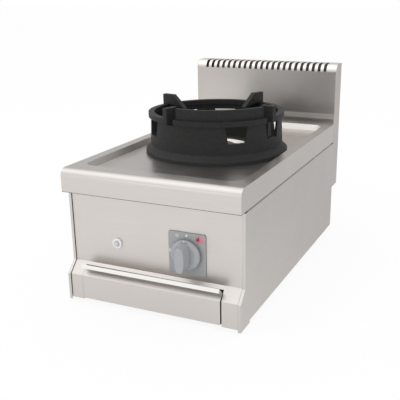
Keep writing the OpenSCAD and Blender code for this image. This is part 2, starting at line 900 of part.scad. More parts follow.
// The cast burner: foot, neck and bowl, the mixing tube with its bell mouth, and the yoke
module burner_body() {
    foot_top = bracket_z + burner_foot_t;
    flare_low = mixer_z + neck_rise;
    flare_top = seat_z - head_depth;
    color([0.25, 0.25, 0.26]) placed() difference() {
        union() {
            translate([0, ring_d, 0]) rotate_extrude() polygon([[0, bracket_z], [burner_foot_r, bracket_z],
                [burner_foot_r, foot_top], [neck_r, foot_top], [neck_r, flare_low],
                [head_r, flare_top], [head_r, seat_z], [0, seat_z]]);
            rod(0, mixer_z, mixer_r, mouth_d, ring_d);
            cone(0, mixer_z, mouth_r, mixer_r, mouth_d, mouth_d + mouth_len);
            rod(0, mixer_z, mouth_flange_r, mouth_d, mouth_d + mouth_flange_t);
            block([-yoke_w / 2, yoke_d, mixer_z - mouth_flange_r],
                [yoke_w / 2, yoke_d + yoke_t, mixer_z + mouth_flange_r]);
            for (s = [-1, 1])
                translate([-yoke_arm_w / 2, yoke_d,
                    mixer_z + s * (mouth_flange_r - yoke_arm_t / 2) - yoke_arm_t / 2])
                    cube([yoke_arm_w, mouth_d - yoke_d + mouth_flange_t, yoke_arm_t]);
        }
        translate([0, ring_d, 0]) rotate_extrude() polygon([[0, foot_top], [neck_r - burner_wall, foot_top],
            [neck_r - burner_wall, flare_low], [head_r - head_wall, flare_top],
            [head_r - head_wall, seat_z + over], [0, seat_z + over]]);
        rod(0, mixer_z, mixer_bore_r, mouth_d, ring_d);
        cone(0, mixer_z, mouth_bore_r, mixer_bore_r, mouth_d - over, mouth_d + mouth_len);
        rod(0, mixer_z, nose_rod_r + seat_fit, yoke_d - over, yoke_d + yoke_t + over);
        for (x = [-bolt_x, bolt_x])
            translate([x, ring_d, bracket_z - over])
                cylinder(h = burner_foot_t + 2 * over, r = bolt_r + hole_fit);
    }
}

// The burner's cap: a ring of flame notches on the seat, a spigot inside and a dished top
module burner_cap() {
    spigot_r = head_r - head_wall - spigot_gap;
    top_r = head_r * cap_top_share;
    dish_r = head_r * cap_dish_share;
    top = seat_z + cap_h;
    color([0.32, 0.32, 0.33]) placed() translate([0, ring_d, 0]) difference() {
        rotate_extrude() polygon([[spigot_r - spigot_wall, seat_z - spigot_h], [spigot_r, seat_z - spigot_h],
            [spigot_r, seat_z], [head_r, seat_z], [head_r, seat_z + cap_edge_h], [top_r, top],
            [dish_r, top], [dish_r - cap_dish_h, top - cap_dish_h], [0, top - cap_dish_h],
            [0, seat_z + port_h], [spigot_r - spigot_wall, seat_z + port_h]]);
        for (i = [0:port_count - 1]) rotate([0, 0, 360 * i / port_count])
            translate([spigot_r - spigot_wall - over, -port_w / 2, seat_z - spigot_h - over])
                cube([head_r - spigot_r + spigot_wall + 2 * over, port_w, spigot_h + port_h + over]);
    }
}

// Bolts that hold the burner's foot to the cross-member, each with its nut
module burner_bolts() {
    foot_top = bracket_z + burner_foot_t;
    low = bracket_z - sheet;
    color("dimgray") placed() for (x = [-bolt_x, bolt_x]) translate([x, ring_d, 0]) {
        translate([0, 0, foot_top]) cylinder(h = bolt_head_h, r = bolt_head_r, $fn = hex);
        translate([0, 0, low - bolt_nut_h]) cylinder(h = foot_top - low + bolt_nut_h, r = bolt_r);
        translate([0, 0, low - bolt_nut_h]) cylinder(h = bolt_nut_h, r = bolt_head_r, $fn = hex);
    }
}

// Injector

// The holder: a cross piece on the supply pipe, a shoulder on the yoke and a nose through it
module injector_holder() {
    color("darkgoldenrod") placed() {
        cross_rod(-holder_left, holder_right, holder_d, mixer_z, shoulder_r);
        rod(0, mixer_z, shoulder_r, holder_d, yoke_d);
        rod(0, mixer_z, nose_rod_r, holder_d, nose_end);
    }
}

module injector() {
    color("goldenrod") placed() {
        rod(0, mixer_z, injector_hex_r, nose_end, nose_end + injector_hex_t, hex);
        cone(0, mixer_z, injector_tip_r, injector_tip_r / 2, nose_end + injector_hex_t,
            nose_end + injector_hex_t + injector_tip);
    }
}

// The air shutter: a disc with a hub on the holder's nose, ahead of the bell mouth
module air_shutter() {
    disc = mouth_d - shutter_gap;
    color("darkgray") placed() difference() {
        union() {
            rod(0, mixer_z, shutter_r, disc, disc + shutter_t);
            rod(0, mixer_z, shutter_hub_r, disc, disc + shutter_hub);
        }
        rod(0, mixer_z, nose_rod_r + seat_fit, disc - over, disc + shutter_hub + over);
    }
}

// Tap

valve_back = panel_back + valve_len;
outlet_x = knob_x - valve_half - boss_len;

// The tap's body on the back of the front panel, with its bosses and magnet unit
module gas_valve() {
    color("burlywood") placed() difference() {
        union() {
            block([knob_x - valve_half, panel_back, knob_z - valve_half],
                [knob_x + valve_half, valve_back, knob_z + valve_half]);
            cross_rod(knob_x, knob_x + valve_half + boss_len, inlet_boss_d, knob_z, inlet_boss_r);
            cross_rod(outlet_x, knob_x, holder_d, knob_z, outlet_boss_r);
            translate([knob_x, pilot_boss_d, knob_z])
                cylinder(h = valve_half + pilot_boss_len, r = pilot_boss_r);
            rod(knob_x, knob_z, magnet_r, valve_back, valve_back + magnet_len);
        }
        rod(knob_x, knob_z, spindle_r + run_fit, panel_back - over, valve_bore_end);
        for (x = [-valve_screw_pitch, valve_screw_pitch])
            rod(knob_x + x, knob_z, valve_screw_r + seat_fit, panel_back - over,
                panel_back + valve_screw_len + seat_fit);
    }
}

module valve_screws() {
    color("dimgray") placed() for (x = [-valve_screw_pitch, valve_screw_pitch]) {
        rod(knob_x + x, knob_z, valve_screw_head_r, panel_setback - valve_screw_head_h, panel_setback);
        rod(knob_x + x, knob_z, valve_screw_r, panel_setback, panel_back + valve_screw_len);
    }
}

// Height of the spindle's flat above its axis
flat_z = spindle_r * flat_share;
spindle_tip = knob_back - bore_end;

// The spindle, with a flat where the knob grips it
module valve_spindle() {
    color("silver") placed() difference() {
        rod(knob_x, knob_z, spindle_r, spindle_tip, spindle_end);
        block([knob_x - spindle_r - over, spindle_tip - over, knob_z + flat_z],
            [knob_x + spindle_r + over, spindle_tip + flat_len, knob_z + spindle_r + over]);
    }
}

// The rod behind the spindle that pushes the magnet unit open
module valve_push_rod() {
    color("darkgray") placed() rod(knob_x, knob_z, rod_r, spindle_end, spindle_end + rod_len);
}

// The knob: a bevelled skirt and a tapered grip bar with round ends
module knob() {
    skirt_front = knob_back - skirt_t;
    color([0.63, 0.64, 0.65]) placed() difference() {
        union() {
            rod(knob_x, knob_z, knob_r, knob_back - skirt_t + skirt_edge, knob_back);
            cone(knob_x, knob_z, skirt_top_r, knob_r, skirt_front, skirt_front + skirt_edge);
            intersection() {
                translate([knob_x, 0, knob_z - knob_r]) linear_extrude(2 * knob_r)
                    polygon([[-bar_low_w / 2, skirt_front], [-bar_top_w / 2, knob_front],
                        [bar_top_w / 2, knob_front], [bar_low_w / 2, skirt_front]]);
                rod(knob_x, knob_z, bar_r, knob_front, skirt_front);
            }
        }
        difference() {
            rod(knob_x, knob_z, spindle_r + run_fit, spindle_tip, knob_back + over);
            block([knob_x - knob_r, spindle_tip - over, knob_z + flat_z + run_fit],
                [knob_x + knob_r, knob_back + over, knob_z + knob_r]);
        }
    }
}

// The bezel plate on the control panel, open round the spindle
module knob_bezel() {
    color([0.59, 0.6, 0.61]) placed() difference() {
        translate([knob_x, 0, knob_z]) back_from(panel_setback - bezel_t, panel_setback)
            round_rect(bezel_w, bezel_h, bezel_corner);
        rod(knob_x, knob_z, bezel_hole_r, panel_setback - bezel_t - over, panel_setback + over);
    }
}

// Igniter

module igniter_body() {
    end = igniter_front + igniter_len;
    color("dimgray") placed() difference() {
        union() {
            rod(-igniter_x, igniter_z, igniter_r, igniter_front, end);
            rod(-igniter_x, igniter_z, terminal_r, end, end + terminal_len);
        }
        rod(-igniter_x, igniter_z, button_r + run_fit, igniter_front - over, igniter_bore_end);
    }
}

// The white ring round the button, with a lip over the igniter's neck
module igniter_bezel() {
    color("white") placed() difference() {
        rod(-igniter_x, igniter_z, igniter_ring_r, igniter_front - igniter_lip, panel_setback);
        rod(-igniter_x, igniter_z, button_r + hole_fit, igniter_front - igniter_lip - over, panel_setback);
        rod(-igniter_x, igniter_z, igniter_r + seat_fit, igniter_front, panel_setback + over);
    }
}

module igniter_nut() {
    nut_end = panel_back + igniter_nut_t;
    color("dimgray") placed() difference() {
        rod(-igniter_x, igniter_z, igniter_nut_r, panel_back, nut_end, hex);
        rod(-igniter_x, igniter_z, igniter_r + seat_fit, panel_back - over, nut_end + over);
    }
}

module igniter_button() {
    color("gray") placed() rod(-igniter_x, igniter_z, button_r, button_front, button_front + button_len);
}

// Gas lines

// The inlet's fitting: thread and hexagon outside, shank through the back panel
module inlet_fitting() {
    hex_end = body_d + inlet_hex_t;
    color("goldenrod") placed() {
        rod(inlet_x, inlet_z, inlet_r, body_d - inlet_tail, hex_end + inlet_len);
        rod(inlet_x, inlet_z, inlet_hex_r, body_d, hex_end, hex);
    }
}

module inlet_locknut() {
    color("goldenrod") placed() difference() {
        rod(inlet_x, inlet_z, inlet_hex_r, body_d - sheet - locknut_t, body_d - sheet, hex);
        rod(inlet_x, inlet_z, inlet_r + seat_fit, body_d - sheet - locknut_t - over, body_d - sheet + over);
    }
}

// A quarter bend of the gas pipe, from straight right to straight up
module pipe_bend() {
    rotate_extrude(angle = 90) translate([bend_r, 0]) circle(gas_pipe_r);
}

// The pipe from the inlet along the right side, up and across to the tap
module gas_pipe() {
    color("darkgray") placed() {
        rod(inlet_x, inlet_z, gas_pipe_r, inlet_boss_d + bend_r, body_d - inlet_tail);
        translate([inlet_x, inlet_boss_d + bend_r, inlet_z + bend_r])
            rotate([90, 0, 90]) rotate([0, 0, 180]) pipe_bend();
        translate([inlet_x, inlet_boss_d, inlet_z + bend_r])
            cylinder(h = knob_z - inlet_z - 2 * bend_r, r = gas_pipe_r);
        translate([inlet_x - bend_r, inlet_boss_d, knob_z - bend_r]) rotate([90, 0, 0]) pipe_bend();
        cross_rod(knob_x + valve_half + boss_len, inlet_x - bend_r, inlet_boss_d, knob_z, gas_pipe_r);
    }
}

// The short pipe from the tap to the injector holder
module supply_pipe() {
    color("peru") placed() cross_rod(holder_right, outlet_x, holder_d, mixer_z, supply_r);
}

module union_nuts() {
    color("goldenrod") placed() for (x = [holder_right, outlet_x - supply_nut_len]) difference() {
        cross_rod(x, x + supply_nut_len, holder_d, mixer_z, supply_nut_r, hex);
        cross_rod(x - over, x + supply_nut_len + over, holder_d, mixer_z, supply_r + seat_fit);
    }
}

// Pilot group

// A place on the pilot circle, as an angle round the burner's axis
function pilot_place(angle) = [pilot_r * cos(angle), ring_d + pilot_r * sin(angle), 0];
probe_place = pilot_place(pilot_angle - pilot_spread);
flame_place = pilot_place(pilot_angle);
spark_place = pilot_place(pilot_angle + pilot_spread);
tab_top = tab_z + tab_t;
lead_z = tab_z - pilot_below;

// The bracket: a leg on the cross-member and a curved tab with three holes
module pilot_bracket() {
    leg_d = ring_d - bracket_half;
    color("silver") placed() difference() {
        union() {
            block([tab_leg_x0, leg_d - sheet, bracket_z - bracket_lip], [tab_leg_x1, leg_d, tab_top]);
            translate([0, ring_d, tab_z]) rotate([0, 0, tab_start])
                rotate_extrude(angle = tab_end - tab_start)
                    translate([tab_in_r, 0]) square([tab_out_r - tab_in_r, tab_t]);
        }
        for (p = [[spark_place, electrode_r], [flame_place, pilot_body_r], [probe_place, probe_r]])
            translate(p[0] + [0, 0, tab_z - over]) cylinder(h = tab_t + 2 * over, r = p[1] + hole_fit);
    }
}

module pilot_burner() {
    tip = pan_floor + pilot_tip;
    color("goldenrod") placed() translate(flame_place) {
        translate([0, 0, lead_z]) cylinder(h = tip - lead_z, r = pilot_body_r);
        translate([0, 0, tab_top]) cylinder(h = pilot_collar_t, r = pilot_collar_r);
        translate([0, 0, tip - pilot_hood_h]) cylinder(h = pilot_hood_h, r = pilot_hood_r);
    }
}

// Lengths that shape a line's bends, as shares of the burner's depth
pipe_rise_share = 0.24;
lead_run_share = 0.18;
spark_dip_share = 0.36;
probe_dip_share = 0.73;
pipe_rise = ring_d * pipe_rise_share;
lead_run = ring_d * lead_run_share;
spark_dip = ring_d * spark_dip_share;
probe_dip = ring_d * probe_dip_share;

module pilot_pipe() {
    start = [knob_x, pilot_boss_d, knob_z + valve_half + pilot_boss_len];
    color("peru") placed()
        tube(start, [0, 0, pipe_rise], [0, 0, lead_run], flame_place + [0, 0, lead_z], pilot_pipe_r);
}

// The thermocouple: probe on the tab, lead under the mixing tube and nut on the magnet unit
module thermocouple() {
    nut_d = valve_back + magnet_len;
    start = [knob_x, nut_d + thermo_nut_len, knob_z];
    color("sandybrown") placed() {
        rod(knob_x, knob_z, thermo_nut_r, nut_d, nut_d + thermo_nut_len, hex);
        tube(start, [0, lead_run, 0], [0, 0, probe_dip], probe_place + [0, 0, lead_z], lead_r);
        translate(probe_place + [0, 0, lead_z]) cylinder(h = pan_floor + pilot_tip - lead_z, r = probe_r);
        translate(probe_place + [0, 0, tab_top]) cylinder(h = pilot_collar_t, r = probe_collar_r);
    }
}

module spark_electrode() {
    top = pan_floor - electrode_tip;
    color("ivory") placed() translate(spark_place) {
        translate([0, 0, lead_z]) cylinder(h = top - lead_z, r = electrode_r);
        translate([0, 0, tab_top]) cylinder(h = pilot_collar_t, r = electrode_collar_r);
        translate([0, 0, top]) cylinder(h = electrode_tip + pilot_tip, r = electrode_tip_r);
    }
}

module ignition_lead() {
    start = [-igniter_x, igniter_front + igniter_len + terminal_len, igniter_z];
    color("black") placed()
        tube(start, [0, lead_run, 0], [0, 0, spark_dip], spark_place + [0, 0, lead_z], spark_lead_r);
}

// Wok ring

rim_top = drum_h + rim_h;
prong_top = rim_top + shield_h;
window_reach = flange_r - drum_top_r;

// The casting's turned section: flange, flared drum, and a rim that stands out on both sides of it
module ring_section() {
    polygon([[drum_in_r, 0], [flange_r, 0], [flange_r, flange_lip],
        [(flange_r + 2 * drum_low_r) / 3, (flange_lip + flare_h) / 2], [drum_low_r, flare_h],
        [drum_top_r, drum_h], [rim_r, drum_h], [rim_r, rim_top], [rim_in_r, rim_top],
        [rim_in_r, drum_h], [drum_in_r, drum_h]]);
}

// One prong, drawn outward: a flat top, a slope that the wok rests on, and a root in the drum
module prong() {
    flat_in = prong_r - prong_flat;
    nose_in = flat_in - prong_slope_run;
    root_r = drum_top_r - prong_sink;
    translate([0, prong_t / 2, 0]) rotate([90, 0, 0]) linear_extrude(prong_t)
        polygon([[prong_r, drum_h], [prong_r, prong_top], [flat_in, prong_top],
            [nose_in, prong_top - prong_slope_drop], [nose_in, prong_top - prong_slope_drop - prong_nose],
            [root_r, drum_h - prong_root], [root_r, drum_h]]);
}

// The cut of one air window at an angle, its top edge a drop below the rim
module ring_window(angle, drop) {
    rotate([0, 0, angle]) translate([rim_in_r - window_reach, 0, drum_h - drop - window_h])
        rotate([90, 0, 90]) linear_extrude(cast_wall + 2 * window_reach)
            polygon([[-window_low_w / 2, 0], [window_low_w / 2, 0],
                [window_top_w / 2, window_h], [-window_top_w / 2, window_h]]);
}

// The cast ring: windows through the drum, prongs, and the shield with a notch at each end
module wok_ring() {
    notch_w = prong_t / 2 + shield_gap;
    color([0.2, 0.2, 0.2]) placed() translate([ring_shift, ring_d, pan_floor]) {
        difference() {
            union() {
                rotate_extrude() ring_section();
                rotate([0, 0, shield_from + shield_ease])
                    rotate_extrude(angle = shield_to - shield_from - 2 * shield_ease)
                        translate([shield_in_r, drum_h]) square([shield_wall, rim_h + shield_h]);
            }
            for (a = front_window_angles) ring_window(a, window_lip);
            for (a = rear_window_angles) ring_window(a, window_lip + rear_window_drop);
            for (s = [[shield_from, 0], [shield_to, -notch_w]]) rotate([0, 0, s[0]])
                translate([shield_in_r - over, s[1], drum_h - notch_drop])
                    cube([rim_r - shield_in_r + 2 * over, notch_w, prong_top - drum_h + notch_drop + over]);
        }
        for (a = prong_angles) rotate([0, 0, a]) prong();
    }
}

side_panel_left();
side_panel_right();
base_plate();
back_panel();
front_panel();
worktop();
flue_front_panel();
flue_back_panel();
tray_runner_left();
tray_runner_right();
burner_bracket();
burner_body();
burner_cap();
burner_bolts();
pilot_bracket();
pilot_burner();
pilot_pipe();
thermocouple();
spark_electrode();
ignition_lead();
gas_valve();
valve_screws();
valve_spindle();
valve_push_rod();
knob();
knob_bezel();
igniter_body();
igniter_bezel();
igniter_nut();
igniter_button();
inlet_fitting();
inlet_locknut();
gas_pipe();
supply_pipe();
union_nuts();
injector_holder();
injector();
air_shutter();
feet();
foot_screws();
back_screws();
tray_pan();
tray_front();
wok_ring();
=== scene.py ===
"""Looks of a countertop wok burner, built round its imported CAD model.

A stainless box with a pressed worktop and a slotted flue, a cast-iron wok ring over
one gas burner, a push-and-turn tap, a push-button igniter and a pull-out drip tray.
Lengths are in millimetres in the classes and in metres in the meshes.
"""
import json
import logging
import math
from dataclasses import dataclass
from enum import Enum

import bmesh
import bpy
import numpy as np
from mathutils import Matrix, Vector


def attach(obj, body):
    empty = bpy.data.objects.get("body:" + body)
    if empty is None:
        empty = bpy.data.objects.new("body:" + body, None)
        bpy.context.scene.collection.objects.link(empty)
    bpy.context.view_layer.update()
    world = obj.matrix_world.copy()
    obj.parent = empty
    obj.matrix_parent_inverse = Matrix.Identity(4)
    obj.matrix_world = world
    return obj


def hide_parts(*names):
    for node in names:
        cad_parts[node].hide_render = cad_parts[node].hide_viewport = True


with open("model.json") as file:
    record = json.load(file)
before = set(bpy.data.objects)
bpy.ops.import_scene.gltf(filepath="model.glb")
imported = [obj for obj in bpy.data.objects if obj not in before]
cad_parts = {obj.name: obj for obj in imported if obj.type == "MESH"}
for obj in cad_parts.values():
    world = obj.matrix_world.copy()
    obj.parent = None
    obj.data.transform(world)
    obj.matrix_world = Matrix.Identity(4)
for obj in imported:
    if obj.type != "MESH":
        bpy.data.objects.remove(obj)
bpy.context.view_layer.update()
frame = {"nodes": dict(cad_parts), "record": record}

LOG = logging.getLogger("wok_burner")
MM = 0.001

# Two numbers that belong together, and a point of x, y and z.
Span = tuple[float, float]
Place = tuple[float, float, float]

# The worktop's front face, from which depths are counted, and the tap's axis, in millimetres.
FRONT_Y = -347.2
TAP_X = 75.5
TAP_Z = 142.0

# Points nearer than these, in metres, are one: in a new grid and in a copy of a CAD mesh.
GRID_WELD = 1e-6
CAD_WELD = 2e-6
# A seam that turns less than this is flat.
FLAT_DEG = 0.6
# A coordinate in millimetres that lies outside the part.
FAR = 1e4
# A length that is divided by is at least this.
TINY = 1e-6


# Helpers


def linear(colour: str) -> tuple[float, float, float, float]:
    """Turns an sRGB hex colour into linear light.

    Args:
        colour: six hex digits after a hash.

    Returns:
        Red, green and blue, linear, and an opacity of 1.
    """
    raw = [int(colour[i:i + 2], 16) / 255 for i in (1, 3, 5)]
    lit = [c / 12.92 if c <= 0.04045 else ((c + 0.055) / 1.055) ** 2.4 for c in raw]
    return lit[0], lit[1], lit[2], 1.0


def add_node(tree: bpy.types.NodeTree, kind: str, links: dict[str | int, bpy.types.NodeSocket] | None = None,
             values: dict[str | int, object] | None = None, feeds: bpy.types.NodeSocket | None = None,
             **settings: object) -> bpy.types.Node:
    """Adds a node with its settings and links.

    Args:
        tree: the node tree.
        kind: the node's type.
        links: input socket to the output socket that feeds it.
        values: input socket to its constant.
        feeds: the socket that the node's first output goes to.
        settings: the node's own properties.

    Returns:
        The new node.
    """
    node = tree.nodes.new(kind)
    for key, value in settings.items():
        setattr(node, key, value)
    for key, value in (values or {}).items():
        node.inputs[key].default_value = value
    for key, source in (links or {}).items():
        tree.links.new(source, node.inputs[key])
    if feeds is not None:
        tree.links.new(node.outputs[0], feeds)
    return node


def read(items: bpy.types.bpy_prop_collection, key: str, width: int = 1, kind: type = float) -> np.ndarray:
    """Reads one property of all the points, edges, corners or faces of a mesh.

    Args:
        items: the mesh's collection.
        key: the property's name.
        width: how many numbers each item has.
        kind: the numbers' type.

    Returns:
        A number for each item, or a row of them where the width is more than one.
    """
    out = np.empty(len(items) * width, kind)
    items.foreach_get(key, out)
    return out.reshape(-1, width) if width > 1 else out


def edge_middles(mesh: bpy.types.Mesh) -> np.ndarray:
    """The middle of each edge in millimetres, as rows of x, y, z."""
    ends = read(mesh.edges, "vertices", 2, np.int32)
    return read(mesh.vertices, "co", 3)[ends].mean(1) / MM


def face_middles(mesh: bpy.types.Mesh) -> tuple[np.ndarray, np.ndarray]:
    """The middle of each face in millimetres and its normal, as rows of x, y, z."""
    return read(mesh.polygons, "center", 3) / MM, read(mesh.polygons, "normal", 3)


def edge_turns(mesh: bpy.types.Mesh) -> np.ndarray:
    """Angle between the two faces at each edge, as whole arrays.

    Sorts the face corners by edge, takes the two faces of each edge and the arc cosine
    of their normals' product.

    Args:
        mesh: a mesh with merged points.

    Returns:
        One angle for each edge in radians, zero where an edge has not two faces.
    """
    edge_of = read(mesh.loops, "edge_index", kind=np.int32)
    sizes = read(mesh.polygons, "loop_total", kind=np.int32)
    normals = read(mesh.polygons, "normal", 3)
    face_of = np.repeat(np.arange(len(sizes)), sizes)
    order = np.argsort(edge_of, kind="stable")
    counts = np.bincount(edge_of, minlength=len(mesh.edges))
    first = np.cumsum(counts) - counts
    two = counts == 2
    a = face_of[order[first[two]]]
    b = face_of[order[first[two] + 1]]
    turns = np.zeros(len(mesh.edges))
    turns[two] = np.arccos(np.clip((normals[a] * normals[b]).sum(1), -1, 1))
    return turns


def shade_smooth(mesh: bpy.types.Mesh) -> None:
    """Lets the shading run over all the faces' edges."""
    mesh.polygons.foreach_set("use_smooth", np.ones(len(mesh.polygons), bool))


def mesh_piece(name: str, points: np.ndarray, faces: list[list[int]]) -> bpy.types.Object:
    """Makes an object from points in metres and faces, shaded smooth.

    Args:
        name: the piece's name.
        points: rows of x, y, z.
        faces: point numbers of each face.

    Returns:
        The linked object, at the origin.
    """
    mesh = bpy.data.meshes.new(name)
    mesh.from_pydata(points.tolist(), [], faces)
    shade_smooth(mesh)
    mesh.update()
    piece = bpy.data.objects.new(name, mesh)
    bpy.context.scene.collection.objects.link(piece)
    return piece


def grid_faces(rows: int, columns: int) -> np.ndarray:
    """Quads of a grid of points, row by row, with the last column joined to the first.

    Args:
        rows: number of rows.
        columns: points in a row.

    Returns:
        Rows of four point numbers.
    """
    i, j = np.meshgrid(np.arange(rows - 1), np.arange(columns), indexing="ij")
    k = (j + 1) % columns
    lower = i * columns
    upper = lower + columns
    return np.stack([lower + j, lower + k, upper + k, upper + j], -1).reshape(-1, 4)


def grid_piece(name: str, grid: np.ndarray, places: np.ndarray | None = None) -> bpy.types.Object:
    """Makes a piece from a grid in millimetres whose rows are closed rings, with its ends capped.

    Args:
        name: the piece's name.
        grid: rows, columns and x, y, z.
        places: where copies of the grid go, as rows of x, y, z; without it, one stays where it is.

    Returns:
        The object, its faces turned outwards.
    """
    if places is None:
        places = np.zeros((1, 3))
    rows, columns, _ = grid.shape
    starts = (np.arange(len(places)) * rows * columns)[:, None, None]
    ends = np.stack([np.arange(columns)[::-1], np.arange(columns) + (rows - 1) * columns])
    faces = (grid_faces(rows, columns) + starts).reshape(-1, 4).tolist()
    faces += (ends + starts).reshape(-1, columns).tolist()
    points = (places[:, None, :] + grid.reshape(1, -1, 3)).reshape(-1, 3)
    piece = mesh_piece(name, points * MM, faces)
    work = bmesh.new()
    work.from_mesh(piece.data)
    bmesh.ops.remove_doubles(work, verts=work.verts, dist=GRID_WELD)
    bmesh.ops.recalc_face_normals(work, faces=work.faces)
    work.to_mesh(piece.data)
    work.free()
    return piece


def round_angles(columns: int) -> np.ndarray:
    """Angles evenly round a circle, without the one that closes it."""
    return np.linspace(0, 2 * np.pi, columns, endpoint=False)


def signed_power(values: np.ndarray, power: float) -> np.ndarray:
    """A power of the values' sizes, with their signs kept."""
    return np.sign(values) * np.abs(values) ** power


def flat_mark(name: str, outline: np.ndarray, depth: float, proud: float) -> bpy.types.Object:
    """A thin flat mark: an outline carried forward by its thickness and closed to its middle.

    Each row is the outline shrunk to a share of its size, at a share of the thickness.

    Args:
        name: the piece's name.
        outline: rows of x and z in millimetres.
        depth: depth of its back behind the worktop's front face.
        proud: its thickness.

    Returns:
        The piece.
    """
    size_shares = np.array([1.0, 1.0, 0.96, 0.02])[:, None, None]
    height_shares = np.array([0.0, 0.7, 1.0, 1.0])[:, None]
    middle = outline.mean(0)
    flat = middle + size_shares * (outline - middle)
    y = np.broadcast_to(depth - proud * height_shares + FRONT_Y, flat.shape[:2])
    return grid_piece(name, np.stack([flat[..., 0], y, flat[..., 1]], -1))


def body_of(node: str) -> str:
    """The body that a CAD node belongs to."""
    bodies = frame["record"]["behaviour"]["bodies"]
    return next(b for b, members in bodies.items() if node in members)


def slot_of(node: str) -> str:
    """The record's material slot of a CAD node."""
    return next(p["material_slot"] for p in frame["record"]["subparts"] if p["node"] == node)


def paint(piece: bpy.types.Object, material: bpy.types.Material) -> None:
    """Gives a piece one material."""
    piece.data.materials.clear()
    piece.data.materials.append(material)


def paint_faces(piece: bpy.types.Object, material: bpy.types.Material, chosen: np.ndarray) -> None:
    """Gives the chosen faces of a painted piece a further material.

    Args:
        piece: a piece that has its main material.
        material: the further one.
        chosen: one truth value for each face.
    """
    piece.data.materials.append(material)
    index = read(piece.data.polygons, "material_index", kind=np.int32)
    index[chosen] = len(piece.data.materials) - 1
    piece.data.polygons.foreach_set("material_index", index)


def shift_points(piece: bpy.types.Object, low: Place, high: Place, move: Place) -> None:
    """Moves the points of a dressed copy that lie in a box; all in millimetres.

    Args:
        piece: the copy.
        low: the box's lowest corner.
        high: its highest corner.
        move: the shift.
    """
    points = read(piece.data.vertices, "co", 3)
    inside = ((points > np.array(low) * MM) & (points < np.array(high) * MM)).all(1)
    points[inside] += np.array(move) * MM
    piece.data.vertices.foreach_set("co", points.ravel())
    piece.data.update()


def keep_crisp(piece: bpy.types.Object, least_deg: float) -> None:
    """Keeps the edges that turn more than least_deg crisp in the shading."""
    edges = piece.modifiers.new("crisp", "EDGE_SPLIT")
    edges.split_angle = math.radians(least_deg)


def smooth_bend(piece: bpy.types.Object, axis: Span, radius: float, slack: float = 1.0,
                facing: float = 0.5) -> None:
    """Makes a piece's rounding final and gives its bend about an X axis a true cylinder's normals.

    A face corner whose distance from the axis is the radius within the slack, and whose face looks
    outwards, takes the direction from the axis to the corner as its normal.

    Args:
        piece: a rounded piece.
        axis: y and z of the bend's axis in millimetres.
        radius: the bend's outer radius.
        slack: how far off the radius a corner may be.
        facing: least cosine between a face's normal and that direction.
    """
    graph = bpy.context.evaluated_depsgraph_get()
    mesh = bpy.data.meshes.new_from_object(piece.evaluated_get(graph), preserve_all_data_layers=True,
                                           depsgraph=graph)
    piece.modifiers.clear()
    piece.data = mesh
    corners = read(mesh.loops, "vertex_index", kind=np.int32)
    sizes = read(mesh.polygons, "loop_total", kind=np.int32)
    normals = read(mesh.corner_normals, "vector", 3)
    faces = np.repeat(read(mesh.polygons, "normal", 3), sizes, axis=0)
    outward = (read(mesh.vertices, "co", 3)[corners] / MM - (0.0, *axis)) * (0, 1, 1)
    reach = np.linalg.norm(outward, axis=1)
    outward /= np.maximum(reach, TINY)[:, None]
    bent = (np.abs(reach - radius) < slack) & ((faces * outward).sum(1) > facing)
    normals[bent] = outward[bent]
    mesh.normals_split_custom_set(normals.tolist())


# Finishes


class Grain(Enum):
    """Axis that a sheet was brushed along."""

    ACROSS = 0
    DEEP = 1
    UPRIGHT = 2


@dataclass(frozen=True)
class Tone:
    """A colour that takes over from a sheet's own with height: none at start_z, all of it at full_z."""

    colour: str
    start_z: float
    full_z: float


# The plain finish's mottle: the size of its patches in millimetres and how far its gloss strays.
MOTTLE_MM = 6.0
MOTTLE_SHARE = 0.15


@dataclass(frozen=True)
class Finish:
    """A material by its common name, colour and gloss; made once and shared."""

    name: str
    colour: str
    metallic: float = 0.0
    roughness: float = 0.5

    def material(self) -> bpy.types.Material:
        """Finds the Blender material, or makes it on first use.

        Returns:
            The material.
        """
        found = bpy.data.materials.get(self.name)
        if found:
            return found
        made = bpy.data.materials.new(self.name)
        made.use_nodes = True
        tree = made.node_tree
        shader = tree.nodes["Principled BSDF"]
        shader.inputs["Base Color"].default_value = linear(self.colour)
        shader.inputs["Metallic"].default_value = self.metallic
        shader.inputs["Roughness"].default_value = self.roughness
        coords = add_node(tree, "ShaderNodeTexCoord")
        self.dress(tree, shader, coords.outputs["Object"])
        return made

    def dress(self, tree: bpy.types.NodeTree, shader: bpy.types.Node, place: bpy.types.NodeSocket) -> None:
        """Adds the finish's own pattern; the plain finish has a slight mottle of gloss.

        Args:
            tree: the material's nodes.
            shader: its main shader.
            place: object coordinates in metres.
        """
        mottle = add_node(tree, "ShaderNodeTexNoise", {"Vector": place},
                          {"Scale": 1 / (MOTTLE_MM * MM), "Detail": 3.0})
        add_node(tree, "ShaderNodeMapRange", {"Value": mottle.outputs["Fac"]},
                 {"To Min": self.roughness * (1 - MOTTLE_SHARE),
                  "To Max": min(self.roughness * (1 + MOTTLE_SHARE), 1.0)},
                 shader.inputs["Roughness"])


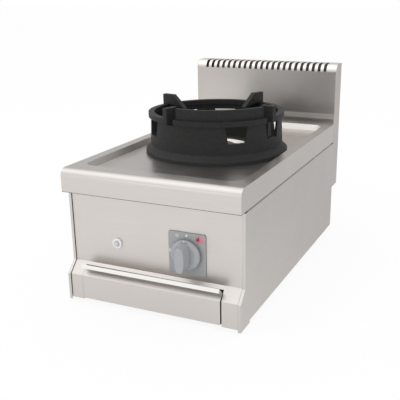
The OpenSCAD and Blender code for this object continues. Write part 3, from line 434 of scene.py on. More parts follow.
@dataclass(frozen=True)
class SatinStainless(Finish):
    """Stainless sheet, ground with a belt: long fine lines that stretch highlights across them.

    The real lines are a tenth of a millimetre apart; they are drawn as coarse as streak_mm to show, and
    the light they catch makes them darker by up to one less line_share. Gloss strays by spread, with the
    lines and with wiping marks of smear_mm. Spans are the stretch of noise that a change runs over. A tone
    paints light or shade into the colour over a band of height: a shade line and a highlight.
    """

    grain: Grain = Grain.ACROSS
    streak_mm: float = 0.8
    run_mm: float = 160.0
    smear_mm: float = 90.0
    relief_mm: float = 0.05
    bump: float = 0.05
    spread: float = 0.06
    gloss_span: Span = (0.6, 1.4)
    line_share: float = 0.9
    line_span: Span = (0.25, 0.6)
    tone: Tone | None = None

    def dress(self, tree: bpy.types.NodeTree, shader: bpy.types.Node, place: bpy.types.NodeSocket) -> None:
        """Ground lines in colour, gloss and height, and broad faint wiping marks in gloss.

        Args:
            tree: the material's nodes.
            shader: its main shader.
            place: object coordinates in metres.
        """
        scale = [1 / (self.streak_mm * MM)] * 3
        scale[self.grain.value] = 1 / (self.run_mm * MM)
        stretch = add_node(tree, "ShaderNodeMapping", {"Vector": place}, {"Scale": scale})
        lines = add_node(tree, "ShaderNodeTexNoise", {"Vector": stretch.outputs["Vector"]},
                         {"Scale": 1.0, "Detail": 4.0, "Roughness": 0.6})
        smear = add_node(tree, "ShaderNodeTexNoise", {"Vector": place},
                         {"Scale": 1 / (self.smear_mm * MM), "Detail": 2.0})
        both = add_node(tree, "ShaderNodeMath", {0: lines.outputs["Fac"], 1: smear.outputs["Fac"]},
                        operation="ADD")
        add_node(tree, "ShaderNodeMapRange", {"Value": both.outputs["Value"]},
                 {"From Min": self.gloss_span[0], "From Max": self.gloss_span[1],
                  "To Min": self.roughness - self.spread, "To Max": self.roughness + self.spread},
                 shader.inputs["Roughness"])
        add_node(tree, "ShaderNodeBump", {"Height": lines.outputs["Fac"]},
                 {"Strength": self.bump, "Distance": self.relief_mm * MM}, shader.inputs["Normal"])
        bright = linear(self.colour)
        dim = (*(c * self.line_share for c in bright[:3]), 1.0)
        drawn = add_node(tree, "ShaderNodeMapRange", {"Value": lines.outputs["Fac"]},
                         {"From Min": self.line_span[0], "From Max": self.line_span[1]})
        ground = add_node(tree, "ShaderNodeMixRGB", {"Fac": drawn.outputs["Result"]},
                          {"Color1": dim, "Color2": bright}, shader.inputs["Base Color"])
        # The tone is painted light: its colour takes over the sheet's over a band of height.
        if self.tone:
            split = add_node(tree, "ShaderNodeSeparateXYZ", {"Vector": place})
            share = add_node(tree, "ShaderNodeMapRange", {"Value": split.outputs["Z"]},
                             {"From Min": self.tone.start_z * MM, "From Max": self.tone.full_z * MM})
            add_node(tree, "ShaderNodeMixRGB",
                     {"Fac": share.outputs["Result"], "Color1": ground.outputs["Color"]},
                     {"Color2": linear(self.tone.colour)}, shader.inputs["Base Color"])


@dataclass(frozen=True)
class CastIron(Finish):
    """Sand-cast iron: a dull skin with sand grain, soft lumps of pit_mm and worn patches.

    The real sand is about a third of a millimetre; it is drawn as coarse as sand_mm to show. The worn
    colour comes in over worn_span, a stretch of the lumps' noise.
    """

    sand_mm: float = 1.2
    pit_mm: float = 7.0
    worn: str = "#4A4A4A"
    worn_span: Span = (0.3, 0.75)
    bump: float = 0.5
    specular: float = 0.5
    lump_weight: float = 1.5
    relief_mm: float = 0.35
    spread: float = 0.1

    def dress(self, tree: bpy.types.NodeTree, shader: bpy.types.Node, place: bpy.types.NodeSocket) -> None:
        """Fine sand grain and broad lumps in height, with a slightly uneven colour and gloss.

        Args:
            tree: the material's nodes.
            shader: its main shader.
            place: object coordinates in metres.
        """
        shader.inputs["Specular IOR Level"].default_value = self.specular
        sand = add_node(tree, "ShaderNodeTexNoise", {"Vector": place},
                        {"Scale": 1 / (self.sand_mm * MM), "Detail": 3.0, "Roughness": 0.65})
        lumps = add_node(tree, "ShaderNodeTexNoise", {"Vector": place},
                         {"Scale": 1 / (self.pit_mm * MM), "Detail": 2.0})
        height = add_node(tree, "ShaderNodeMath", {0: lumps.outputs["Fac"], 2: sand.outputs["Fac"]},
                          {1: self.lump_weight}, operation="MULTIPLY_ADD")
        add_node(tree, "ShaderNodeBump", {"Height": height.outputs["Value"]},
                 {"Strength": self.bump, "Distance": self.relief_mm * MM}, shader.inputs["Normal"])
        add_node(tree, "ShaderNodeMapRange", {"Value": sand.outputs["Fac"]},
                 {"To Min": self.roughness - self.spread, "To Max": self.roughness + self.spread},
                 shader.inputs["Roughness"])
        patch = add_node(tree, "ShaderNodeMapRange", {"Value": lumps.outputs["Fac"]},
                         {"From Min": self.worn_span[0], "From Max": self.worn_span[1]})
        add_node(tree, "ShaderNodeMixRGB", {"Fac": patch.outputs["Result"]},
                 {"Color1": linear(self.colour), "Color2": linear(self.worn)}, shader.inputs["Base Color"])


@dataclass(frozen=True)
class MouldedPlastic(Finish):
    """Injection-moulded plastic with a spark-eroded mould's even grain.

    The real grain is a few hundredths of a millimetre; it is drawn as coarse as grain_mm to show.
    """

    grain_mm: float = 0.8
    bump: float = 0.12
    relief_mm: float = 0.08
    spread: float = 0.06

    def dress(self, tree: bpy.types.NodeTree, shader: bpy.types.Node, place: bpy.types.NodeSocket) -> None:
        """An even fine grain in height and a slight change of gloss.

        Args:
            tree: the material's nodes.
            shader: its main shader.
            place: object coordinates in metres.
        """
        grain = add_node(tree, "ShaderNodeTexNoise", {"Vector": place},
                         {"Scale": 1 / (self.grain_mm * MM), "Detail": 2.0})
        add_node(tree, "ShaderNodeBump", {"Height": grain.outputs["Fac"]},
                 {"Strength": self.bump, "Distance": self.relief_mm * MM}, shader.inputs["Normal"])
        add_node(tree, "ShaderNodeMapRange", {"Value": grain.outputs["Fac"]},
                 {"To Min": self.roughness - self.spread, "To Max": self.roughness + self.spread},
                 shader.inputs["Roughness"])


# Painted shade: a dark band along the lower edge of the worktop's nose and skirts, for the shadow of the gap
# below them.
GAP_SHADE_LINE = Tone("#6E6B68", 246.4, 245.9)
# Painted highlight: the flue's bend painted paler than the sheet below it.
BEND_HIGHLIGHT = Tone("#E6E2DE", 430.0, 441.0)

# Satin sheet ground from side to side: a soft sheen with faint level lines.
FRONT_STEEL = SatinStainless("stainless_brushed_across", "#D3CECA", 1.0, 0.42)
# The same sheet ground from front to back, for the box's sides.
SIDE_STEEL = SatinStainless("stainless_brushed_deep", "#D0CBC7", 1.0, 0.42, Grain.DEEP)
# Closer grinding, which mirrors the dark ring as a soft shade; its colour is painted darker than the front's
# sheet as painted shade, and its bend carries a painted highlight.
SHADED_FLUE_STEEL = SatinStainless("stainless_flue_painted_shade", "#B6B1AD", 1.0, 0.33, tone=BEND_HIGHLIGHT)
# Pressed sheet, a little shinier where the tool ironed it; on the skirts the lines run front to back. Both
# carry the painted shade band at their lower edge.
TOP_STEEL = SatinStainless("stainless_pressed_top", "#CFCAC6", 1.0, 0.32, tone=GAP_SHADE_LINE)
SKIRT_STEEL = SatinStainless("stainless_pressed_skirt", "#CFCAC6", 1.0, 0.32, Grain.DEEP,
                             tone=GAP_SHADE_LINE)
# A narrow folded strip, whose lines run up it.
STRIP_STEEL = SatinStainless("stainless_folded_strip", "#D0CBC7", 1.0, 0.42, Grain.UPRIGHT)
# A rougher fold: a duller band, whose greyer colour is painted shade.
SHADED_RAIL_STEEL = SatinStainless("stainless_rail_painted_shade", "#B4AFAB", 1.0, 0.5)
# Drawn walls, stretched matt; their paler colour is a painted highlight.
WALL_HIGHLIGHT_STEEL = SatinStainless("stainless_wall_painted_highlight", "#E0DCD8", 1.0, 0.52)
# Painted highlight: the tray's lip painted pale, the brightest line on the front.
LIP_HIGHLIGHT_STEEL = SatinStainless("stainless_fold_painted_highlight", "#EDEBE8", 1.0, 0.3)
# Painted shade inside the flue's duct and slots: dull and even.
DUCT_SHADE_STEEL = Finish("duct_painted_shade", "#8C8884", 1.0, 0.6)
# Rolled sheet as it comes from the mill, with coarse soft streaks.
INNER_STEEL = SatinStainless("mill_finish_sheet", "#B9B8B6", 1.0, 0.5, Grain.DEEP, streak_mm=3.0)
# Sand-cast iron under black stove enamel: nearly black, with a faint sheen on its grain.
RING_IRON = CastIron("enamelled_cast_iron", "#1A1A1A", 0.0, 0.55, sand_mm=1.4, worn="#222222", bump=1.0,
                     specular=0.3)
# A bare casting that heat has browned.
BURNER_IRON = CastIron("bare_burner_casting", "#56524E", 0.6, 0.55, sand_mm=1.0, pit_mm=12.0,
                       worn="#7A6F66", bump=0.35)
# Turned, drawn and plated metals: clean, with a little unevenness in their shine.
TURNED_BRASS = Finish("turned_brass", "#D3B679", 1.0, 0.32)
DRAWN_COPPER = Finish("drawn_copper", "#C07A55", 1.0, 0.35)
ZINC_PLATE = Finish("zinc_plated_steel", "#C4C5C8", 1.0, 0.35)
# Moulded plastics and rubber: a fine grain that breaks up highlights.
KNOB_PLASTIC = MouldedPlastic("knob_grey_plastic", "#A2A4A7", 0.0, 0.42)
BEZEL_PLASTIC = MouldedPlastic("bezel_grey_plastic", "#9FA1A3", 0.0, 0.5)
WHITE_PLASTIC = MouldedPlastic("white_ring_plastic", "#E8E8E8", 0.0, 0.3)
GREY_PLASTIC = MouldedPlastic("dark_grey_plastic", "#5C5D5F", 0.0, 0.45)
PALE_PLASTIC = MouldedPlastic("pale_grey_plastic", "#C6C8CB", 0.0, 0.4)
FOOT_RUBBER = MouldedPlastic("moulded_rubber", "#1E1E1E", 0.0, 0.75, grain_mm=1.5, bump=0.3)
# Glazed ceramic: pale cream with a clear shine.
GLAZED_CERAMIC = Finish("glazed_ceramic", "#EEEBE2", 0.0, 0.2)
# Screen-printed inks: flat and even.
DARK_PRINT = Finish("dark_red_print", "#8A2E44", 0.0, 0.5)
WHITE_PRINT = Finish("white_print", "#F2F2F2", 0.0, 0.5)
GREY_PRINT = Finish("pale_grey_print", "#C9CBCD", 0.0, 0.5)
RED_PRINT = Finish("red_print", "#B8546A", 0.0, 0.5)
PINK_PRINT = Finish("pink_print", "#D07C8E", 0.0, 0.5)

SLOT_FINISH: dict[str, Finish] = {
    "stainless": FRONT_STEEL, "plain_steel": INNER_STEEL, "ring_iron": RING_IRON,
    "burner_iron": BURNER_IRON, "brass": TURNED_BRASS, "copper": DRAWN_COPPER, "zinc": ZINC_PLATE,
    "knob_plastic": KNOB_PLASTIC, "bezel_plastic": BEZEL_PLASTIC, "white_plastic": WHITE_PLASTIC,
    "grey_plastic": GREY_PLASTIC, "pale_plastic": PALE_PLASTIC, "ceramic": GLAZED_CERAMIC,
    "rubber": FOOT_RUBBER,
}


# Rounded copies of CAD nodes


@dataclass(frozen=True)
class Round:
    """A rounding of the edges in a box: its radius and where it applies, in millimetres."""

    radius: float
    low: Place = (-FAR, -FAR, -FAR)
    high: Place = (FAR, FAR, FAR)

    def takes(self, middles: np.ndarray) -> np.ndarray:
        """Which edges have their middle inside the box."""
        return ((middles > self.low) & (middles < self.high)).all(1)


def merged_copy(node: str) -> bpy.types.Mesh:
    """A copy of a CAD node's mesh with its points merged and its flat seams dissolved.

    Args:
        node: the CAD node.

    Returns:
        The copy, shaded smooth.
    """
    mesh = frame["nodes"][node].data.copy()
    mesh.name = node + "_rounded"
    work = bmesh.new()
    work.from_mesh(mesh)
    bmesh.ops.remove_doubles(work, verts=work.verts, dist=CAD_WELD)
    bmesh.ops.dissolve_limit(work, angle_limit=math.radians(FLAT_DEG), verts=work.verts, edges=work.edges)
    work.to_mesh(mesh)
    work.free()
    if "custom_normal" in mesh.attributes:
        mesh.attributes.remove(mesh.attributes["custom_normal"])
    shade_smooth(mesh)
    return mesh


def rounded(node: str, finish: Finish, rounds: list[Round], segments: int = 3,
            sharp_deg: float = 24.0) -> bpy.types.Object:
    """A painted copy of a CAD node with its sharp edges rounded, which then stands for the node.

    Every edge sharper than sharp_deg gets the radius of the last rounding whose box holds it.

    Args:
        node: the CAD node.
        finish: the copy's finish.
        rounds: roundings, the general one first.
        segments: facets across a rounding.
        sharp_deg: least turn of an edge that counts as sharp.

    Returns:
        The copy, riding on the node's body.
    """
    mesh = merged_copy(node)
    sharp = edge_turns(mesh) > math.radians(sharp_deg)
    middles = edge_middles(mesh)
    radii = np.zeros(len(mesh.edges))
    for entry in rounds:
        radii[sharp & entry.takes(middles)] = entry.radius
    widest = max(float(radii.max()), TINY)
    weights = mesh.attributes.new("bevel_weight_edge", "FLOAT", "EDGE")
    weights.data.foreach_set("value", radii / widest)
    piece = bpy.data.objects.new(node + "_dressed", mesh)
    bpy.context.scene.collection.objects.link(piece)
    bevel = piece.modifiers.new("rounding", "BEVEL")
    bevel.limit_method = "WEIGHT"
    bevel.width = widest * MM
    bevel.segments = segments
    bevel.use_clamp_overlap = True
    bevel.harden_normals = True
    bevel.miter_outer = "MITER_ARC"
    paint(piece, finish.material())
    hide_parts(node)
    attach(piece, body_of(node))
    return piece


# Sub-assemblies


@dataclass
class Cabinet:
    """The sheet-metal box: sides, front, back, base and flue.

    The slot's box holds the upper edge of the tray's opening. Facing and lean are least cosines between a
    face's normal and an axis.
    """

    sheets: tuple[tuple[str, Finish], ...] = (
        ("side_panel_left", SIDE_STEEL), ("side_panel_right", SIDE_STEEL), ("front_panel", FRONT_STEEL),
        ("flue_front_panel", SHADED_FLUE_STEEL), ("flue_back_panel", FRONT_STEEL), ("back_panel", INNER_STEEL),
        ("base_plate", INNER_STEEL))
    edge_r: float = 0.3
    facets: int = 2
    strip_facing: float = 0.6
    slot_low: Place = (-190.0, -340.0, 79.0)
    slot_high: Place = (190.0, -320.0, 80.0)
    slot_rise: float = 2.0
    slot_end_shift: float = -2.0
    inner_lean: float = 0.3
    cut_facing: float = 0.9
    back_facing: float = 0.5
    rail_z: Span = (307.5, 320.5)
    rail_lean: float = 0.1
    bend_axis: Span = (328.8, 429.5)
    bend_r: float = 20.0

    def build(self) -> list[bpy.types.Object]:
        """Rounds the folds of every visible sheet and dresses it.

        Returns:
            The pieces.
        """
        pieces = {node: rounded(node, finish, [Round(self.edge_r)], self.facets)
                  for node, finish in self.sheets}
        for side in (pieces["side_panel_left"], pieces["side_panel_right"]):
            strip = np.abs(face_middles(side.data)[1][:, 1]) > self.strip_facing
            paint_faces(side, STRIP_STEEL.material(), strip)
        self.widen_tray_slot(pieces["front_panel"])
        self.darken_flue(pieces["flue_front_panel"], pieces["flue_back_panel"])
        smooth_bend(pieces["flue_front_panel"], self.bend_axis, self.bend_r)
        return list(pieces.values())

    def widen_tray_slot(self, panel: bpy.types.Object) -> None:
        """Moves the upper edge of the tray's opening up the ledge's slope, by half at its right end.

        Args:
            panel: the front panel.
        """
        rise = self.slot_rise
        left_high = (0.0, *self.slot_high[1:])
        right_low = (0.0, *self.slot_low[1:])
        shift_points(panel, self.slot_low, left_high, (0.0, rise, rise))
        shift_points(panel, right_low, self.slot_high, (self.slot_end_shift, rise / 2, rise / 2))

    def darken_flue(self, front: bpy.types.Object, back: bpy.types.Object) -> None:
        """Paints shade on the flue's inner faces and slot walls, and gives the rail's slope a duller
        brushing with a colour painted darker as shade.

        Args:
            front: the flue's front panel.
            back: its back panel.
        """
        middles, normals = face_middles(front.data)
        side, rear, top = normals.T
        inner = (rear > self.inner_lean) | (top < -self.inner_lean) | (np.abs(side) > self.cut_facing)
        height = middles[:, 2]
        slope = (top > self.rail_lean) & (height > self.rail_z[0]) & (height < self.rail_z[1])
        # The duct's inner faces and the slots' walls take a dark colour: painted shade.
        paint_faces(front, DUCT_SHADE_STEEL.material(), inner)
        # The rail's slope gets a rougher finish whose greyer colour is painted shade.
        paint_faces(front, SHADED_RAIL_STEEL.material(), slope)
        paint_faces(back, DUCT_SHADE_STEEL.material(), face_middles(back.data)[1][:, 1] < -self.back_facing)


@dataclass
class Worktop:
    """The pressed top with its pan; the pan's edges have a press tool's radius.

    The boxes hold the pan and the bead round the burner's hole. Lean and facing are cosines between a
    face's normal and an axis.
    """

    edge_r: float = 0.5
    facets: int = 4
    pan_r: float = 2.5
    pan_low: Place = (-186.0, -310.0, 279.5)
    pan_high: Place = (186.0, 295.0, 300.0)
    bead_r: float = 0.6
    bead_low: Place = (-100.0, -117.0, 279.0)
    bead_high: Place = (100.0, 83.0, 290.0)
    wall_lean: Span = (0.2, 0.97)
    skirt_facing: float = 0.9

    def build(self) -> list[bpy.types.Object]:
        """Rounds the top, paints a highlight on its pan's walls and dresses its skirts.

        Returns:
            Its one piece.
        """
        rounds = [Round(self.edge_r), Round(self.pan_r, self.pan_low, self.pan_high),
                  Round(self.bead_r, self.bead_low, self.bead_high)]
        piece = rounded("worktop", TOP_STEEL, rounds, self.facets)
        middles, normals = face_middles(piece.data)
        inside = ((middles > self.pan_low) & (middles < self.pan_high)).all(1)
        wall = (normals[:, 2] > self.wall_lean[0]) & (normals[:, 2] < self.wall_lean[1])
        # The pan's walls take a paler colour: a painted highlight.
        paint_faces(piece, WALL_HIGHLIGHT_STEEL.material(), inside & wall)
        paint_faces(piece, SKIRT_STEEL.material(), ~inside & (np.abs(normals[:, 0]) > self.skirt_facing))
        return [piece]


@dataclass
class DripTray:
    """The pull-out tray and its folded front, which nearly meets the leg at its left.

    The end's box holds the front's left end, and the lip is what faces forwards above lip_z.
    """

    edge_r: float = 0.3
    facets: int = 2
    end_low: Place = (-170.0, -400.0, 0.0)
    end_high: Place = (-160.0, 0.0, 100.0)
    end_reach: float = 0.65
    lip_z: float = 80.0
    lip_facing: float = 0.9

    def build(self) -> list[bpy.types.Object]:
        """Rounds the tray's sheets, dresses them and paints a highlight on the lip.

        Returns:
            The front and the pan.
        """
        front = rounded("tray_front", FRONT_STEEL, [Round(self.edge_r)], self.facets)
        shift_points(front, self.end_low, self.end_high, (-self.end_reach, 0.0, 0.0))
        middles, normals = face_middles(front.data)
        lip = (middles[:, 2] > self.lip_z) & (normals[:, 1] < -self.lip_facing)
        # The lip's forward faces take a paler colour: a painted highlight.
        paint_faces(front, LIP_HIGHLIGHT_STEEL.material(), lip)
        pan = rounded("tray_pan", INNER_STEEL, [Round(self.edge_r)], self.facets)
        return [front, pan]


@dataclass
class WokRing:
    """The cast ring with its prongs, shield and air windows."""

    edge_r: float = 2.2
    facets: int = 3
    sharp_deg: float = 20.0

    def build(self) -> list[bpy.types.Object]:
        """Rounds the casting's edges and dresses it; returns its one piece."""
        return [rounded("wok_ring", RING_IRON, [Round(self.edge_r)], self.facets, self.sharp_deg)]


@dataclass
class Knob:
    """The push-and-turn knob: a turned skirt with a dished face and a tapered grip with round ends.

    Depths are counted back from the worktop's front face. The rim's points are a radius and a height over
    the knob's back. The grip's last rows shrink by face_steps times its edge's radius.
    """

    x: float = TAP_X
    z: float = TAP_Z
    back_d: float = 16.0
    front_d: float = -16.0
    columns: int = 96
    axis_r: float = 0.2
    rim: tuple[Span, ...] = ((9.0, 0.0), (31.2, 0.0), (31.7, 0.2), (32.0, 0.7), (32.0, 4.2), (31.8, 4.8),
                             (31.3, 5.3), (28.4, 6.6), (25.6, 7.7), (24.6, 7.95))
    face_r: float = 23.8
    face_d: float = 8.0
    face_rows: int = 14
    dish: float = 0.6
    dish_reach: float = 1.3
    grip_half: float = 29.0
    grip_sink: float = 1.4
    foot_w: float = 26.0
    front_w: float = 20.5
    cove_power: float = 2.2
    top_slope: float = 6.0
    top_power: float = 1.5
    low_slope: float = 0.5
    across_power: float = 2.4
    along_power: float = 3.0
    side_rows: int = 9
    edge_r: float = 1.8
    edge_rows: int = 8
    edge_from: float = 0.93
    face_steps: Span = (1.6, 4.0)
    pointer_half: Span = (1.3, 2.2)
    pointer_power: float = 0.6
    pointer_rise: float = 29.3
    pointer_sink: float = 1.6
    pointer_t: float = 1.0
    pointer_columns: int = 32

    def build(self) -> list[bpy.types.Object]:
        """Makes the skirt, the grip and the pointer, which stand for the knob.

        Returns:
            The three pieces.
        """
        skirt = self.skirt()
        grip = self.grip()
        pointer = self.pointer()
        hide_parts("knob")
        for piece, finish in ((skirt, KNOB_PLASTIC), (grip, KNOB_PLASTIC), (pointer, WHITE_PRINT)):
            paint(piece, finish.material())
            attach(piece, "knob")
        return [skirt, grip, pointer]

    def placed(self, x: np.ndarray, d: np.ndarray, z: np.ndarray) -> np.ndarray:
        """Points round the knob's axis as a grid of x, y, z in the shared frame."""
        return np.stack(np.broadcast_arrays(self.x + x, d + FRONT_Y, self.z + z), -1)

    def skirt(self) -> bpy.types.Object:
        """A profile turned round the knob's axis.

        Radius and depth go from the hub at the back out over a rounded rim and a broad sloping edge, then
        in across a face that sinks by the dish, as the square of a sine, and comes back to the hub.

        Returns:
            The piece.
        """
        face = np.linspace(0, 1, self.face_rows)
        face_r = self.face_r * (1 - face) + self.axis_r * face
        face_d = self.face_d + self.dish * np.sin(np.pi * np.minimum(face * self.dish_reach, 1.0)) ** 2
        rim = np.array(self.rim)
        radius = np.concatenate([rim[:, 0], face_r])[:, None]
        depth = np.concatenate([self.back_d - rim[:, 1], face_d])[:, None]
        turn = round_angles(self.columns)
        return grid_piece("knob_skirt", self.placed(radius * np.cos(turn), depth, radius * np.sin(turn)))

    def grip(self) -> bpy.types.Object:
        """A long rounded outline carried forward from the skirt to the front.

        The outline is a superellipse, with a power across and another along, so its sides are bowed. Its
        width falls as a cove, by a power of what is left to the front, its top end slopes back, and the
        last rows shrink by a quarter circle for a round edge.

        Returns:
            The piece.
        """
        side = np.linspace(0, self.edge_from, self.side_rows)
        edge = np.linspace(self.edge_from, 1.0, self.edge_rows)[1:]
        quarter = np.linspace(0, np.pi / 2, self.edge_rows)[1:]
        front = np.ones(len(self.face_steps))
        rise = np.concatenate([side, edge, front])
        lift = np.concatenate([side, self.edge_from + (1 - self.edge_from) * np.sin(quarter), front])
        turn_in = np.concatenate([np.zeros(self.side_rows), 1 - np.cos(quarter), self.face_steps])
        foot_d = self.face_d + self.grip_sink
        depth = (foot_d + (self.front_d - foot_d) * lift)[:, None]
        width = self.front_w + (self.foot_w - self.front_w) * (1 - rise) ** self.cove_power
        shrink = self.edge_r * turn_in
        half_w = (width / 2 - shrink)[:, None]
        high = (self.grip_half - self.top_slope * rise ** self.top_power - shrink)[:, None]
        low = (self.grip_half - self.low_slope * rise - shrink)[:, None]
        turn = round_angles(self.columns)
        across = signed_power(np.cos(turn), 2 / self.across_power)
        along = signed_power(np.sin(turn), 2 / self.along_power)
        tall = np.where(along > 0, high, low) * along
        return grid_piece("knob_grip", self.placed(half_w * across, depth, tall))

    def pointer(self) -> bpy.types.Object:
        """A short moulded bar on the skirt's sloping edge above the grip: a rectangle with round ends.

        Its width is a low power of the cosine, so its sides are nearly straight.

        Returns:
            The piece.
        """
        turn = round_angles(self.pointer_columns)
        half_w, half_h = self.pointer_half
        x = half_w * signed_power(np.cos(turn), self.pointer_power) + self.x
        z = half_h * np.sin(turn) + self.pointer_rise + self.z
        back = self.face_d + self.pointer_sink
        return flat_mark("knob_pointer", np.stack([x, z], -1), back, self.pointer_t)


class Outline(Enum):
    """Outline of a printed mark."""

    DISC = "disc"
    DROP = "drop"


@dataclass(frozen=True)
class Mark:
    """A printed mark: its outline, half sizes, place from the tap's axis, ink and layer."""

    name: str
    outline: Outline
    half: Span
    place: Span
    finish: Finish
    layer: int


@dataclass
class ControlPanel:
    """The bezel plate with its printed marks, and the igniter's ring and button.

    The marks are a dot for off, a ring for lighting, a small flame at the left and a large red one for
    full heat.
    """

    x: float = TAP_X
    z: float = TAP_Z
    face_d: float = 21.0
    print_t: float = 0.12
    facets: int = 3
    columns: int = 40
    drop_mean: float = 0.62
    plastics: tuple[tuple[str, Finish, float], ...] = (
        ("knob_bezel", BEZEL_PLASTIC, 0.7), ("igniter_bezel", WHITE_PLASTIC, 0.8),
        ("igniter_button", PALE_PLASTIC, 0.8))
    marks: tuple[Mark, ...] = (
        Mark("off_dot", Outline.DISC, (2.0, 2.0), (0.0, 38.5), WHITE_PRINT, 1),
        Mark("light_ring", Outline.DISC, (3.6, 3.6), (-21.0, 36.2), GREY_PRINT, 1),
        Mark("light_ring_middle", Outline.DISC, (1.7, 1.7), (-21.0, 36.2), BEZEL_PLASTIC, 2),
        Mark("pilot_mark", Outline.DROP, (1.8, 4.0), (-38.0, 4.0), WHITE_PRINT, 1),
        Mark("flame_right", Outline.DROP, (4.8, 5.6), (33.0, 32.6), PINK_PRINT, 1),
        Mark("flame_left", Outline.DROP, (4.4, 5.4), (22.6, 33.6), RED_PRINT, 2),
        Mark("flame_mark", Outline.DROP, (6.2, 8.4), (28.4, 34.6), PINK_PRINT, 3),
        Mark("flame_core", Outline.DROP, (3.0, 4.8), (26.0, 35.0), DARK_PRINT, 4))

    def build(self) -> list[bpy.types.Object]:
        """Rounds and dresses the panel's plastic pieces and adds the marks.

        Returns:
            The pieces.
        """
        pieces = [rounded(node, finish, [Round(radius)], self.facets)
                  for node, finish, radius in self.plastics]
        return pieces + self.print_marks()

    def print_marks(self) -> list[bpy.types.Object]:
        """Makes the marks as thin flat pieces, a layer over another where they lap.

        A disc is a circle; a drop is a circle whose width shrinks towards its top as a raised cosine.

        Returns:
            The pieces.
        """
        turn = round_angles(self.columns)
        width = self.drop_mean + (1 - self.drop_mean) * np.cos(turn)
        outlines = {Outline.DISC: np.stack([np.cos(turn), np.sin(turn)], -1),
                    Outline.DROP: np.stack([np.sin(turn) * width, -np.cos(turn)], -1)}
        pieces = []
        for mark in self.marks:
            outline = outlines[mark.outline] * mark.half + mark.place + (self.x, self.z)
            piece = flat_mark(mark.name, outline, self.face_d, self.print_t * mark.layer)
            paint(piece, mark.finish.material())
            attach(piece, "body")
            pieces.append(piece)
        return pieces


@dataclass
class GasInlet:
    """The threaded brass inlet on the back panel.

    Depths are counted back from the worktop's front face. The hexagon's corners are cut by corner_cut over
    rear_cut and front_cut, and the thread fades over one part in start_fade and end_fade of its length.
    """

    x: float = 160.0
    z: float = 85.0
    tail_d: float = 641.0
    panel_d: float = 661.0
    columns: int = 72
    axis_r: float = 0.3
    hex_t: float = 8.0
    hex_r: float = 15.0
    corner_cut: float = 1.6
    corner_spare: float = 1.0
    front_cut: float = 1.2
    rear_cut: float = 1.4
    thread_r: float = 10.48
    thread_len: float = 22.0
    thread_depth: float = 1.16
    thread_rows: int = 134
    pitch: float = 1.814
    start_fade: float = 18.0
    end_fade: float = 14.0
    bore_r: float = 7.6
    crisp_deg: float = 28.0

    def build(self) -> list[bpy.types.Object]:
        """Makes the fitting as one surface that stands for the CAD node.

        Returns:
            Its one piece.
        """
        piece = grid_piece("inlet_fitting_dressed", self.surface())
        keep_crisp(piece, self.crisp_deg)
        paint(piece, TURNED_BRASS.material())
        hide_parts("inlet_fitting")
        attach(piece, "body")
        return [piece]

    def surface(self) -> np.ndarray:
        """The fitting as a grid of depth and angle.

        The radius at each depth and angle is the tail's, then the hexagon's flat-sided radius with its
        corners cut by a cone, then the thread's crest less a triangle wave that climbs one pitch a turn
        and fades at both ends, then the bore's from the end face inwards.

        Returns:
            Rows, columns and x, y, z in millimetres.
        """
        turn = round_angles(self.columns)[None, :]
        half_side = math.pi / 6
        flats = self.hex_r * math.cos(half_side) / np.cos((turn + half_side) % (2 * half_side) - half_side)
        cut_r = self.hex_r - self.corner_cut
        full_r = self.hex_r + self.corner_spare
        cone = np.array([self.thread_r, cut_r, full_r, full_r, cut_r])[:, None]
        hex_rows = np.minimum(flats, cone)
        hex_d = self.panel_d + np.array([0.0, 0.0, self.front_cut, self.hex_t - self.rear_cut, self.hex_t])
        hex_end = self.panel_d + self.hex_t
        steps = np.linspace(0, 1, self.thread_rows)[:, None]
        climb = self.thread_len * steps
        wave = np.abs((climb / self.pitch - turn / (2 * np.pi)) % 1 * 2 - 1)
        ending = np.clip((1 - steps) * self.end_fade, 0, 1)
        fade = ending * np.clip(steps * self.start_fade, 0, 1)
        thread_rows = self.thread_r - self.thread_depth * (wave * fade + (1 - ending))
        plain = np.ones((1, self.columns))
        tail_rows = [plain * r for r in (self.axis_r, self.thread_r, self.thread_r)]
        bore_rows = [plain * r for r in (self.bore_r, self.bore_r, self.axis_r)]
        radius = np.concatenate([*tail_rows, hex_rows, thread_rows, *bore_rows])
        depth = np.concatenate([[self.tail_d, self.tail_d, self.panel_d], hex_d, hex_end + climb[:, 0],
                                [hex_end + self.thread_len, hex_end, hex_end]])
        y = np.broadcast_to(depth[:, None] + FRONT_Y, radius.shape)
        return np.stack([self.x + radius * np.cos(turn), y, self.z + radius * np.sin(turn)], -1)


